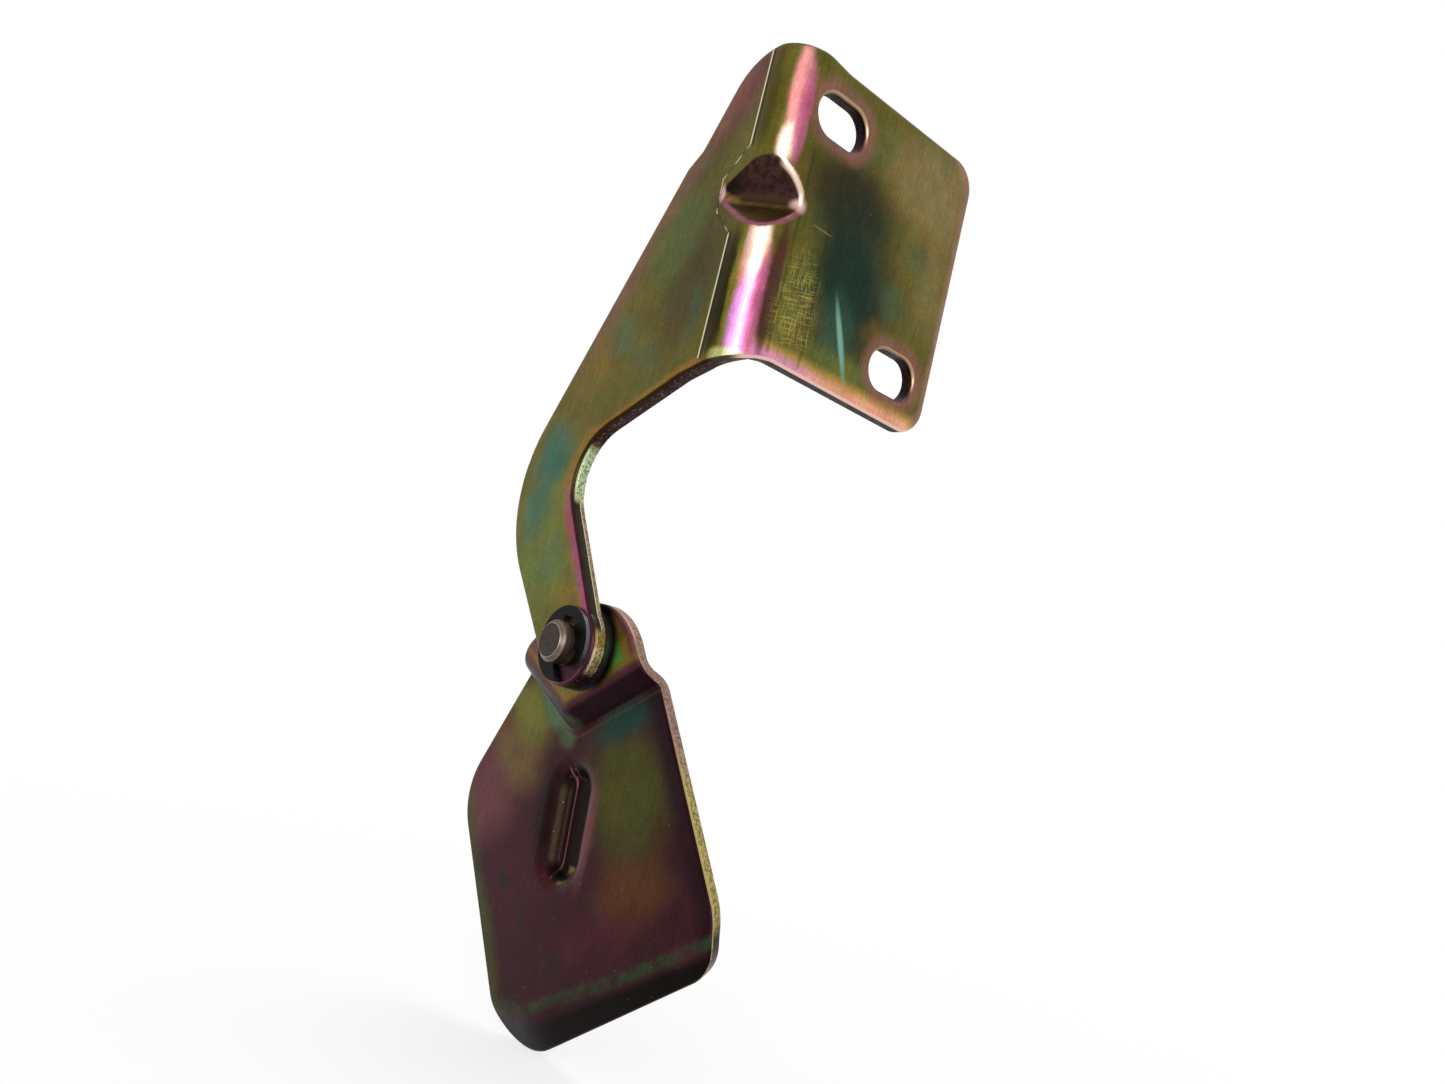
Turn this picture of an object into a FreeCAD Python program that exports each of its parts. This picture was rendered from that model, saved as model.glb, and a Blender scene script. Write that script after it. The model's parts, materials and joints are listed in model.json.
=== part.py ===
import FreeCAD, Part
import math
import os

# A hood hinge for a car: a body bracket with an offset ear, and a gooseneck arm that turns on its pin.
# Origin: on the bracket's rear face, which meets the body, in the flat beside the bead.
# +Y runs along the pivot, away from the clip. +Z runs up the arm's bend line. +X is the flange's outside.
# Each piece is drawn from the pivot axis, level with the arm's front face, and is moved at the end.

# Sheet of the arm and of the bracket
sheet_t = 3.0
plate_t = 2.5
bend_in_r = 4.0
edge_roll_r = 0.5
arm_roll_r = 0.8

# Pivot stack, along +Y
axial_play = 0.1
pin_r = 4.0
run_clear = 0.05
washer_t = 1.4
washer_ring = 4.0
clip_t = 0.9
clip_ring = 3.15
clip_relief = 1.2
clip_slack = 0.05
clip_mouth_half = 3.3
groove_depth = 0.5
clip_mouth_deg = -55.0
clip_relief_deg = 25.0
clip_lobe_deg = 45.0
groove_w = 1.0
pin_nose = 2.85
pin_chamfer = 0.8
pin_head_ring = 3.0
pin_head_t = 2.6
pin_head_chamfer = 0.5

# Height of the flange's top. The web's shoulder and crown and the dart keep their distance from it.
flange_high = 116.1

# Gooseneck web, in X and Z
arm_end_ring = 3.8
arm_flank_ring = 3.4
arm_flank_deg = -55.2
neck_out = (-20.3, 10.5)
neck_out_r = 26.5
neck_back_deg = 63.2
neck_in = (-16.5, 36.5)
neck_in_r = 11.5
shoulder_low = (0.2, flange_high - 21.1)
shoulder_high = (3.5, flange_high - 17.9)
shoulder_r = 2.5
crown = (12.6, flange_high + 0.7)
crown_r = 12.5
web_root = (13.5, 51.9)
web_root_r = 12.0

# Flange, in Y and Z
bend_x = 19.0
bend_low = (53.8, 57.0)
flange_low = 57.0
flange_foot = (10.0, 57.6)
flange_shoulder = (7.6, 13.0)
flange_blend_r = 8.0
flange_reach = 53.6
flange_corner_r = 6.0
slot_w = 8.5
slot_len = 13.4
slot_high_inset = (6.9, 9.55)
slot_low_inset = (11.55, 9.9)
fold_margin = 1.0

# Dart pressed across the bend from outside
dart_z = flange_high - 28.8
dart_web_x = 12.9
dart_flange_y = 8.6
dart_wall_deg = 39.0
dart_nose_r = 3.0
dart_lip_r = 1.6
dart_half = 7.0
dart_overrun = 16.0
dart_height = 12.0

# Body bracket, in X and Z
origin_at = (24.0, -32.0)
plate_step = 4.0
ramp_deg = 60.0
ear_crown = (8.83, 9.0)
ear_crown_r = 16.0
ear_back = (-9.5, 9.0)
ear_back_r = 8.0
ear_side = (-18.4, -1.1)
ear_side_r = 5.0
side_corner = (-34.7, -33.4)
side_corner_r = 12.0
toe_left = (0.0, -76.5)
toe_left_r = 10.5
toe_right = (49.3, -43.1)
toe_right_r = 9.5
ramp_left_at = (-2.8, -13.0)
ramp_left_deg = 154.1
ramp_right_at = (8.95, -6.64)
ramp_right_deg = 31.3
ramp_nose_r = 7.0
ramp_top_r = 5.5
ramp_foot_r = 1.0

# Toe of the bracket, bent back towards the body
toe_fold_deg = 30.0
toe_fold_at = (26.0, -52.8)
toe_fold_dir = 31.9
toe_turn_at = (0.3, -66.5)
toe_turn_dir = 7.6
toe_bend_r = 6.0
toe_turn_r = 40.0

# Stiffening bead pressed into the plate from the front
bead_top = (1.0, -26.2)
bead_low = (2.2, -37.8)
bead_floor_half = 3.1
bead_depth = 3.2
bead_wall_deg = 60.0
bead_lip_r = 4.0
bead_floor_r = 1.4
bead_over = 4.0

# Stations along the pivot and radii that follow from the sizes above
washer_front = sheet_t + axial_play
ear_front = washer_front + washer_t
ear_rear = ear_front + plate_t
plate_front = ear_front + plate_step
plate_rear = plate_front + plate_t
bend_out_r = bend_in_r + sheet_t
flange_face = bend_x + bend_out_r
slot_high = (bend_out_r + slot_high_inset[0], flange_high - slot_high_inset[1])
slot_low = (flange_reach - slot_low_inset[0], flange_low + slot_low_inset[1])
washer_r = pin_r + washer_ring
clip_r = pin_r + clip_ring
clip_seat_r = pin_r - groove_depth
clip_relief_r = pin_r + clip_relief
pin_head_r = pin_r + pin_head_ring
arm_end_r = pin_r + arm_end_ring
arm_flank = pin_r + arm_flank_ring
far = crown[1] - toe_left[1]
reach = far / 2
trim_depth = far / 10
bead_run = math.dist(bead_top, bead_low)
bead_x = (bead_top[0] + bead_low[0]) / 2
bead_z = (bead_top[1] + bead_low[1]) / 2
pivot_at = FreeCAD.Vector(-origin_at[0], -plate_rear, -origin_at[1])
Y_AXIS = FreeCAD.Vector(0, 1, 0)


def at_xz(point, y=0.0):
    return FreeCAD.Vector(point[0], y, point[1])


def at_yz(point, x=0.0):
    return FreeCAD.Vector(x, point[0], point[1])


def rounded_face(corners, place):
    """A flat face from (u, v, corner radius) entries; place turns (u, v) into a 3-D point."""
    count = len(corners)
    starts, mids, ends = [], [], []
    for i in range(count):
        here = place(corners[i][:2])
        to_prev = (place(corners[i - 1][:2]) - here).normalize()
        to_next = (place(corners[(i + 1) % count][:2]) - here).normalize()
        half = to_prev.getAngle(to_next) / 2
        radius = corners[i][2]
        setback = radius / math.tan(half)
        starts.append(here + to_prev * setback)
        inward = (to_prev + to_next).normalize()
        mids.append(here + inward * (radius / math.sin(half) - radius))
        ends.append(here + to_next * setback)
    edges = []
    for i in range(count):
        if corners[i][2] > 0:
            edges.append(Part.Arc(starts[i], mids[i], ends[i]).toShape())
        follow = (i + 1) % count
        if ends[i].distanceToPoint(starts[follow]) > 1e-6:
            edges.append(Part.makeLine(ends[i], starts[follow]))
    return Part.Face(Part.Wire(edges))


def column(radius, y0, y1, x=0.0, z=0.0):
    return Part.makeCylinder(radius, y1 - y0, FreeCAD.Vector(x, y0, z), Y_AXIS)


def behind(point, normal):
    """The half-space that a plane bounds, as a large block on the side that its normal points to."""
    block = Part.makeBox(2 * far, 2 * far, 2 * far, FreeCAD.Vector(-far, -far, 0))
    turn = FreeCAD.Rotation(FreeCAD.Vector(0, 0, 1), normal)
    block.Placement = FreeCAD.Placement(point, turn)
    return block


def heading(deg):
    """The unit direction at this angle from +X towards +Z."""
    return FreeCAD.Vector(math.cos(math.radians(deg)), 0, math.sin(math.radians(deg)))


def edges_where(shape, test):
    return [edge for edge in shape.Edges if not edge.Degenerated and test(edge)]


def middle_of(edge):
    return edge.valueAt((edge.FirstParameter + edge.LastParameter) / 2)


# The arm


def web_face():
    """Outline of the web and of the bend, seen along the pivot."""
    span = math.hypot(neck_out[0], neck_out[1])
    lean = math.asin(arm_end_r / span)
    to_pivot = math.atan2(-neck_out[1], -neck_out[0])
    run = math.sqrt(span ** 2 - arm_end_r ** 2)
    tangent_dir = to_pivot - lean
    tangent = (
        neck_out[0] + run * math.cos(tangent_dir),
        neck_out[1] + run * math.sin(tangent_dir),
    )
    # the outer flank runs from the tangent point to where it meets the straight back of the neck
    back_slope = math.tan(math.radians(neck_back_deg))
    flank_slope = math.tan(tangent_dir)
    corner_x = (shoulder_low[1] - neck_out[1] + flank_slope * neck_out[0] - back_slope * shoulder_low[0])
    corner_x = corner_x / (flank_slope - back_slope)
    corner_z = neck_out[1] + flank_slope * (corner_x - neck_out[0])
    flank = math.radians(arm_flank_deg)
    foot = (-arm_flank * math.sin(flank), arm_flank * math.cos(flank))
    corners = [
        (0.0, 0.0, 0),
        (tangent[0], tangent[1], 0),
        (corner_x, corner_z, neck_out_r),
        (shoulder_low[0], shoulder_low[1], shoulder_r),
        (shoulder_high[0], shoulder_high[1], shoulder_r),
        (crown[0], crown[1], crown_r),
        (flange_face + fold_margin, crown[1], 0),
        (flange_face + fold_margin, bend_low[0], 0),
        (bend_x, bend_low[0], 0),
        (web_root[0], web_root[1], web_root_r),
        (neck_in[0], neck_in[1], neck_in_r),
        (foot[0], foot[1], 0),
    ]
    outline = rounded_face(corners, at_xz)
    end_disc = Part.Face(Part.Wire(Part.makeCircle(arm_end_r, FreeCAD.Vector(), Y_AXIS)))
    return outline.fuse(end_disc).removeSplitter()


def flange_face_outline():
    corners = [
        (bend_out_r, bend_low[1], 0),
        (flange_foot[0], flange_foot[1], flange_blend_r),
        (flange_reach, flange_low, flange_corner_r),
        (flange_reach, flange_high, flange_corner_r),
        (flange_shoulder[1], flange_high, flange_blend_r),
        (flange_shoulder[0], crown[1], flange_blend_r),
        (bend_out_r, crown[1], 0),
    ]
    return rounded_face(corners, at_yz)


def folded_block(out_r, offset):
    """Everything inside the arm's outer surface when that surface is moved in by offset."""
    block = Part.makeBox(2 * far, far, 2 * far, FreeCAD.Vector(flange_face - offset - 2 * far, offset, -far))
    corner = edges_where(
        block,
        lambda edge: abs(middle_of(edge).x - flange_face + offset) < 1e-6
        and abs(middle_of(edge).y - offset) < 1e-6,
    )
    return block.makeFillet(out_r, corner)


def dart_tool(offset):
    """A bar with a rounded V section, laid across the bend from the dart's tip on the web to its tip
    on the flange, and grown by offset."""
    web_tip = FreeCAD.Vector(dart_web_x, 0, dart_z)
    flange_tip = FreeCAD.Vector(flange_face, dart_flange_y, dart_z)
    along = (flange_tip - web_tip).normalize()
    outward = FreeCAD.Vector(along.y, -along.x, 0)
    upward = FreeCAD.Vector(0, 0, 1)
    slope = math.radians(dart_wall_deg)
    root = -dart_nose_r * (1 / math.cos(slope) - 1) - offset / math.cos(slope)
    half_width = (dart_height - root) / math.tan(slope)
    start = web_tip - along * dart_overrun
    section = [
        start + outward * root,
        start + outward * dart_height + upward * half_width,
        start + outward * dart_height - upward * half_width,
    ]
    run = along * (web_tip.distanceToPoint(flange_tip) + 2 * dart_overrun)
    bar = Part.Face(Part.makePolygon(section + section[:1])).extrude(run)
    root_edge = edges_where(
        bar, lambda edge: middle_of(edge).distanceToPoint(start + outward * root + run / 2) < 1e-3
    )
    return bar.makeFillet(dart_nose_r + offset, root_edge)


def bend_waste():
    """What the blank leaves open under the bend, where its lower edge climbs from the web to the flange.
    The edge runs round the bend as a helix, so it stays square to the sheet."""
    rise = bend_low[1] - bend_low[0]
    full_turn = 4 * rise
    inside = Part.makeHelix(full_turn, rise, bend_in_r - fold_margin).Edges[0]
    outside = Part.makeHelix(full_turn, rise, bend_out_r + fold_margin).Edges[0]
    waste = Part.makeRuledSurface(inside, outside).extrude(FreeCAD.Vector(0, 0, -2 * rise))
    start = FreeCAD.Vector(bend_x, bend_out_r, bend_low[0])
    from_web = FreeCAD.Rotation(FreeCAD.Vector(1, 0, 0), FreeCAD.Vector(0, -1, 0))
    waste.Placement = FreeCAD.Placement(start, from_web)
    return waste


def slot_tool(centre):
    half = (slot_len - slot_w) / 2
    start = flange_face - 2 * sheet_t
    depth = 3 * sheet_t
    x_dir = FreeCAD.Vector(1, 0, 0)
    bar = Part.makeBox(depth, 2 * half, slot_w, FreeCAD.Vector(start, centre[0] - half, centre[1] - slot_w / 2))
    ends = [
        Part.makeCylinder(slot_w / 2, depth, FreeCAD.Vector(start, centre[0] + side * half, centre[1]), x_dir)
        for side in (-1, 1)
    ]
    return bar.fuse(ends).removeSplitter()


def depth_in_fold(point):
    """How far a point lies inside the arm's outer surface."""
    if point.x > bend_x and point.y < bend_out_r:
        return bend_out_r - math.hypot(point.x - bend_x, point.y - bend_out_r)
    return min(point.y, flange_face - point.x)


def is_bend_line(edge):
    """True for a straight seam where the bend meets the web or the flange."""
    return abs(edge.tangentAt(edge.FirstParameter).z) > 0.999 and edge.Length > bend_out_r


def near_dart(point):
    return abs(point.z - dart_z) < 2 * dart_half and point.y < flange_reach / 2


def on_outer_rim(edge):
    mid = middle_of(edge)
    ends = [vertex.Point for vertex in edge.Vertexes]
    on_skin = all(abs(depth_in_fold(point)) < 1e-4 for point in ends + [mid])
    by_neck = abs(mid.x - bend_x) > 1 and abs(mid.y - bend_out_r) > 1
    if near_dart(mid) and mid.x > dart_web_x - 1:
        return False
    return on_skin and (by_neck or not is_bend_line(edge))


def on_dart_lip(edge):
    mid = middle_of(edge)
    bowed = not isinstance(edge.Curve, Part.Line)
    return bowed and near_dart(mid) and mid.x > dart_web_x and depth_in_fold(mid) < 0.5


def hood_arm():
    outer = folded_block(bend_out_r, 0)
    inner = folded_block(bend_in_r, sheet_t)
    sheet = outer.cut(inner)
    web = web_face().extrude(FreeCAD.Vector(0, bend_out_r + fold_margin, 0))
    web.translate(FreeCAD.Vector(0, -fold_margin, 0))
    web = web.cut(bend_waste())
    flange = flange_face_outline().extrude(FreeCAD.Vector(2 * sheet_t, 0, 0))
    flange.translate(FreeCAD.Vector(flange_face - 1.5 * sheet_t, 0, 0))
    arm = sheet.common(web.fuse(flange)).removeSplitter()
    bump = dart_tool(sheet_t).common(outer)
    arm = arm.fuse(bump).cut(dart_tool(0)).removeSplitter()
    arm = arm.cut([slot_tool(slot_high), slot_tool(slot_low)])
    arm = arm.makeFillet(arm_roll_r, edges_where(arm, on_outer_rim))
    arm = arm.makeFillet(dart_lip_r, edges_where(arm, on_dart_lip))
    return arm.cut(column(pin_r + run_clear, -1, sheet_t + 1))


# The body bracket


def behind_slopes(block, offset, corners, front, tilt_deg):
    """Cut the block back to sloping planes that leave its front along the given lines."""
    tilt = math.radians(tilt_deg)
    for corner, out_deg in corners:
        normal = heading(out_deg) * -math.sin(tilt) + Y_AXIS * math.cos(tilt)
        block = block.common(behind(at_xz(corner, front) + normal * offset, normal))
    return block


def inner_edges(block, test=None):
    """The block's edges that aren't on its outer box."""
    edge_list = []
    for edge in block.Edges:
        mid = middle_of(edge)
        if max(abs(mid.x), abs(mid.z)) < reach - 1e-3 and mid.y < reach - 1e-3:
            edge_list.append(edge)
    return [edge for edge in edge_list if test is None or test(edge)]


def level_at(y):
    return lambda edge: all(abs(vertex.Y - y) < 1e-4 for vertex in edge.Vertexes)


def front_block(front):
    return Part.makeBox(2 * reach, reach - front, 2 * reach, FreeCAD.Vector(-reach, front, -reach))


def ear_block(offset):
    """Everything behind the ear and its two ramps, moved in by offset."""
    slopes = ((ramp_left_at, ramp_left_deg + 90), (ramp_right_at, ramp_right_deg - 90))
    front = ear_front + offset
    block = behind_slopes(front_block(front), offset, slopes, ear_front, ramp_deg)
    nose = inner_edges(block, lambda edge: not level_at(front)(edge))
    block = block.makeFillet(ramp_nose_r - offset, nose)
    return block.makeFillet(ramp_top_r - offset, inner_edges(block, level_at(front)))


def plate_block(offset):
    """Everything behind the plate and its bent toe, moved in by offset."""
    slopes = ((toe_fold_at, toe_fold_dir - 90), (toe_turn_at, toe_turn_dir - 90))
    front = plate_front + offset
    block = behind_slopes(front_block(front), offset, slopes, plate_front, toe_fold_deg)
    turn = inner_edges(block, lambda edge: not level_at(front)(edge))
    block = block.makeFillet(toe_turn_r - offset, turn)
    return block.makeFillet(toe_bend_r - offset, inner_edges(block, level_at(front)))


def bracket_surface(offset, foot_r):
    """The bracket's front surface moved in by offset, as a solid that fills everything behind it."""
    body = ear_block(offset).fuse(plate_block(offset)).removeSplitter()
    return body.makeFillet(foot_r, inner_edges(body, level_at(plate_front + offset)))


def bracket_outline():
    """Outline of the ear and the plate, left open past the toe, where a slanted cut ends the sheet."""
    left_run = (at_xz(toe_left) - at_xz(side_corner)).normalize() * trim_depth
    right_run = (at_xz(toe_right) - at_xz(ear_crown)).normalize() * trim_depth
    corners = [
        (ear_crown[0], ear_crown[1], ear_crown_r),
        (ear_back[0], ear_back[1], ear_back_r),
        (ear_side[0], ear_side[1], ear_side_r),
        (side_corner[0], side_corner[1], side_corner_r),
        (toe_left[0] + left_run.x, toe_left[1] + left_run.z, 0),
        (toe_right[0] + right_run.x, toe_right[1] + right_run.z, 0),
    ]
    return rounded_face(corners, at_xz)


def toe_normal():
    """The direction into the sheet of the bent toe."""
    tilt = math.radians(toe_fold_deg)
    return heading(toe_fold_dir - 90) * -math.sin(tilt) + Y_AXIS * math.cos(tilt)


def on_toe(point):
    """The point of the toe's front face that lies straight behind this place on the outline."""
    normal = toe_normal()
    flat = at_xz(point, plate_front)
    return flat - Y_AXIS * ((flat - at_xz(toe_fold_at, plate_front)).dot(normal) / normal.y)


def trimmed_to_outline(front):
    """Cut the body to the bracket's outline and roll the edge that the punch entered first."""
    body = front.common(bracket_outline().extrude(Y_AXIS * (plate_rear + trim_depth)))
    left, right = on_toe(toe_left), on_toe(toe_right)
    upward = toe_normal().cross((right - left).normalize())
    if upward.z < 0:
        upward = -upward
    body = body.common(behind(left, upward))
    for place, radius in ((left, toe_left_r), (right, toe_right_r)):
        corner = edges_where(
            body,
            lambda edge: edge.Length > trim_depth / 2
            and min(vertex.Point.distanceToPoint(place) for vertex in edge.Vertexes) < radius / 2
            and abs(edge.tangentAt(edge.FirstParameter).y) > 0.5,
        )
        body = body.makeFillet(radius, corner)
    skin = Part.Compound(front.Faces)
    old_edges = Part.Compound([edge for edge in front.Edges if not edge.Degenerated])

    def on_front_rim(edge):
        mid = Part.Vertex(middle_of(edge))
        return skin.distToShape(mid)[0] < 1e-4 and old_edges.distToShape(mid)[0] > 1e-3

    return body.makeFillet(edge_roll_r, edges_where(body, on_front_rim))


def bead_tool(offset):
    """The long rounded recess with sloping sides, moved in by offset, as the solid that fills it."""
    slope = math.tan(math.radians(bead_wall_deg))
    corner = offset * math.tan(math.radians(bead_wall_deg / 2))
    floor = plate_front + bead_depth + offset
    floor_half = bead_floor_half + corner
    top_half = floor_half + (floor - plate_front + bead_over) / slope
    along = (at_xz(bead_low) - at_xz(bead_top)).normalize()
    across = along.cross(Y_AXIS)
    cones = []
    for end in (bead_top, bead_low):
        start = at_xz(end, plate_front - bead_over)
        cones.append(Part.makeCone(top_half, floor_half, floor - plate_front + bead_over, start, Y_AXIS))
    section = [
        at_xz(bead_top, plate_front - bead_over) + across * top_half,
        at_xz(bead_top, floor) + across * floor_half,
        at_xz(bead_top, floor) - across * floor_half,
        at_xz(bead_top, plate_front - bead_over) - across * top_half,
    ]
    trough = Part.Face(Part.makePolygon(section + section[:1])).extrude(along * bead_run)
    tool = trough.fuse(cones).removeSplitter()
    return tool.makeFillet(bead_floor_r + offset, edges_where(tool, level_at(floor)))


def with_bead(body, offset):
    """Sink the bead into the body's front and round its lip."""
    front = plate_front + offset
    body = body.cut(bead_tool(offset))
    lip = edges_where(body, lambda edge: level_at(front)(edge) and over_bead(middle_of(edge)))
    return body.makeFillet(bead_lip_r - offset, lip)


def over_bead(point):
    return math.hypot(point.x - bead_x, point.z - bead_z) < bead_run * 1.3


def body_bracket():
    front = with_bead(bracket_surface(0, ramp_foot_r), 0)
    rear = with_bead(bracket_surface(plate_t, ramp_foot_r + plate_t), plate_t)
    bracket = trimmed_to_outline(front).cut(rear)
    return bracket.cut(column(pin_r + run_clear, ear_front - 1, ear_rear + 1))


# Pin, clip and washer


def pivot_pin():
    nose = -axial_play - clip_t - pin_nose
    pin = column(pin_r, nose, ear_rear + run_clear)
    nose_edge = edges_where(pin, lambda edge: abs(middle_of(edge).y - nose) < 1e-6)
    pin = pin.makeChamfer(pin_chamfer, nose_edge)
    groove_rear = -axial_play + clip_slack
    ring = column(pin_r + 1, groove_rear - groove_w, groove_rear)
    ring = ring.cut(column(clip_seat_r, groove_rear - groove_w, groove_rear))
    head = column(pin_head_r, ear_rear + run_clear, ear_rear + run_clear + pin_head_t)
    rim = edges_where(head, lambda edge: isinstance(edge.Curve, Part.Circle))
    head = head.makeChamfer(pin_head_chamfer, rim)
    return pin.cut(ring).fuse(head).removeSplitter()


def retaining_clip():
    """An open ring that snaps into the pin's groove from the side and grips it with three lobes."""
    front = -axial_play - clip_t
    ring = column(clip_r, front, -axial_play)
    ring = ring.cut(column(clip_seat_r + clip_slack, front - 1, 1))
    reliefs = []
    for side in (-1, 1):
        middle = clip_mouth_deg + 180 + side * clip_lobe_deg
        wedge = [
            FreeCAD.Vector(0, front - 1, 0),
            heading(middle - clip_relief_deg) * 2 * clip_r + Y_AXIS * (front - 1),
            heading(middle + clip_relief_deg) * 2 * clip_r + Y_AXIS * (front - 1),
        ]
        sector = Part.Face(Part.makePolygon(wedge + wedge[:1])).extrude(Y_AXIS * (clip_t + 2))
        reliefs.append(sector.common(column(clip_relief_r, front - 1, 1)))
    mouth = Part.makeBox(2 * clip_r, clip_t + 2, 2 * clip_mouth_half)
    mouth.translate(FreeCAD.Vector(0, front - 1, -clip_mouth_half))
    mouth.rotate(FreeCAD.Vector(), Y_AXIS, -clip_mouth_deg)
    return ring.cut(reliefs + [mouth])


def spacer_washer():
    ring = column(washer_r, washer_front, ear_front)
    return ring.cut(column(pin_r + 2 * run_clear, washer_front - 1, ear_front + 1))


os.makedirs("parts", exist_ok=True)
for name, build in (
    ("hood_arm", hood_arm),
    ("body_bracket", body_bracket),
    ("pivot_pin", pivot_pin),
    ("retaining_clip", retaining_clip),
    ("spacer_washer", spacer_washer),
):
    shape = build()
    shape.translate(pivot_at)
    print(name, shape.isValid(), len(shape.Solids), round(shape.Volume), len(shape.Faces))
    shape.exportStep("parts/" + name + ".step")
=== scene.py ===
# %% [markdown]
# # A hood hinge in yellow zinc
# The hinge comes ready-made from its CAD model: two sheet-metal stampings, a pin,
# a spring clip and a washer. Here each piece gets its finish, and the scene gets its light
# and its camera. Nothing is reshaped, because the solids already have every form of the metal.

# %% Load the hinge
import bpy
import json
import math
from mathutils import Matrix, Vector


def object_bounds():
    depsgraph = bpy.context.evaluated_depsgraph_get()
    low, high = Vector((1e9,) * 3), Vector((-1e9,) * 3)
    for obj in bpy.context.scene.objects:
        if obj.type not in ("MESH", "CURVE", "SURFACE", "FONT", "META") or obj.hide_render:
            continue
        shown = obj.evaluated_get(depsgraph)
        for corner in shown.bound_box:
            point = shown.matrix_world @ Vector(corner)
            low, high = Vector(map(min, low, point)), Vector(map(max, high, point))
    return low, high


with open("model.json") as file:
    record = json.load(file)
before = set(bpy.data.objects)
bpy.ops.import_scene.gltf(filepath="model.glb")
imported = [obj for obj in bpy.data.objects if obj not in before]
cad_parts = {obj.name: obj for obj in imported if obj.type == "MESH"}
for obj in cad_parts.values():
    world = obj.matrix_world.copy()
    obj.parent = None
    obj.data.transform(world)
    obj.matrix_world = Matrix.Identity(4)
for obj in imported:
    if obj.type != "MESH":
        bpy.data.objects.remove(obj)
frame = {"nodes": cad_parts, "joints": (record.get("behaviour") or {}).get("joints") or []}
cad_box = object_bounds()
nodes = frame["nodes"]
pivot = Vector(frame["joints"][0]["pos_m"])
print("pieces", sorted(nodes), "pivot", tuple(round(v, 4) for v in pivot))

# %% [markdown]
# ## Smooth where the metal is smooth
# The meshes are made of flat facets. On the real thing rolled edges and bends are smooth,
# and sheared edges are sharp. Shading smooth below a fold angle gives both,
# and leaves every vertex where it is.

# %% Smooth shading
SHARP_FOLD = math.radians(28)


def shade_like_metal(piece):
    bpy.context.view_layer.objects.active = piece
    for other in bpy.context.selected_objects:
        other.select_set(False)
    piece.select_set(True)
    bpy.ops.object.shade_smooth_by_angle(angle=SHARP_FOLD)
    piece.select_set(False)


for piece in nodes.values():
    shade_like_metal(piece)
print("smooth below", round(math.degrees(SHARP_FOLD)), "degrees")

# %% [markdown]
# ## A bench for mixing finishes
# Every finish below is a graph of nodes. Written out in full, each would take pages.
# A helper that adds one node per call keeps them as short as the idea behind them.
# All places are in millimetres from the pivot, as on a drawing, and they belong to the piece,
# so a stain stays on its spot when the arm swings.

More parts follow.
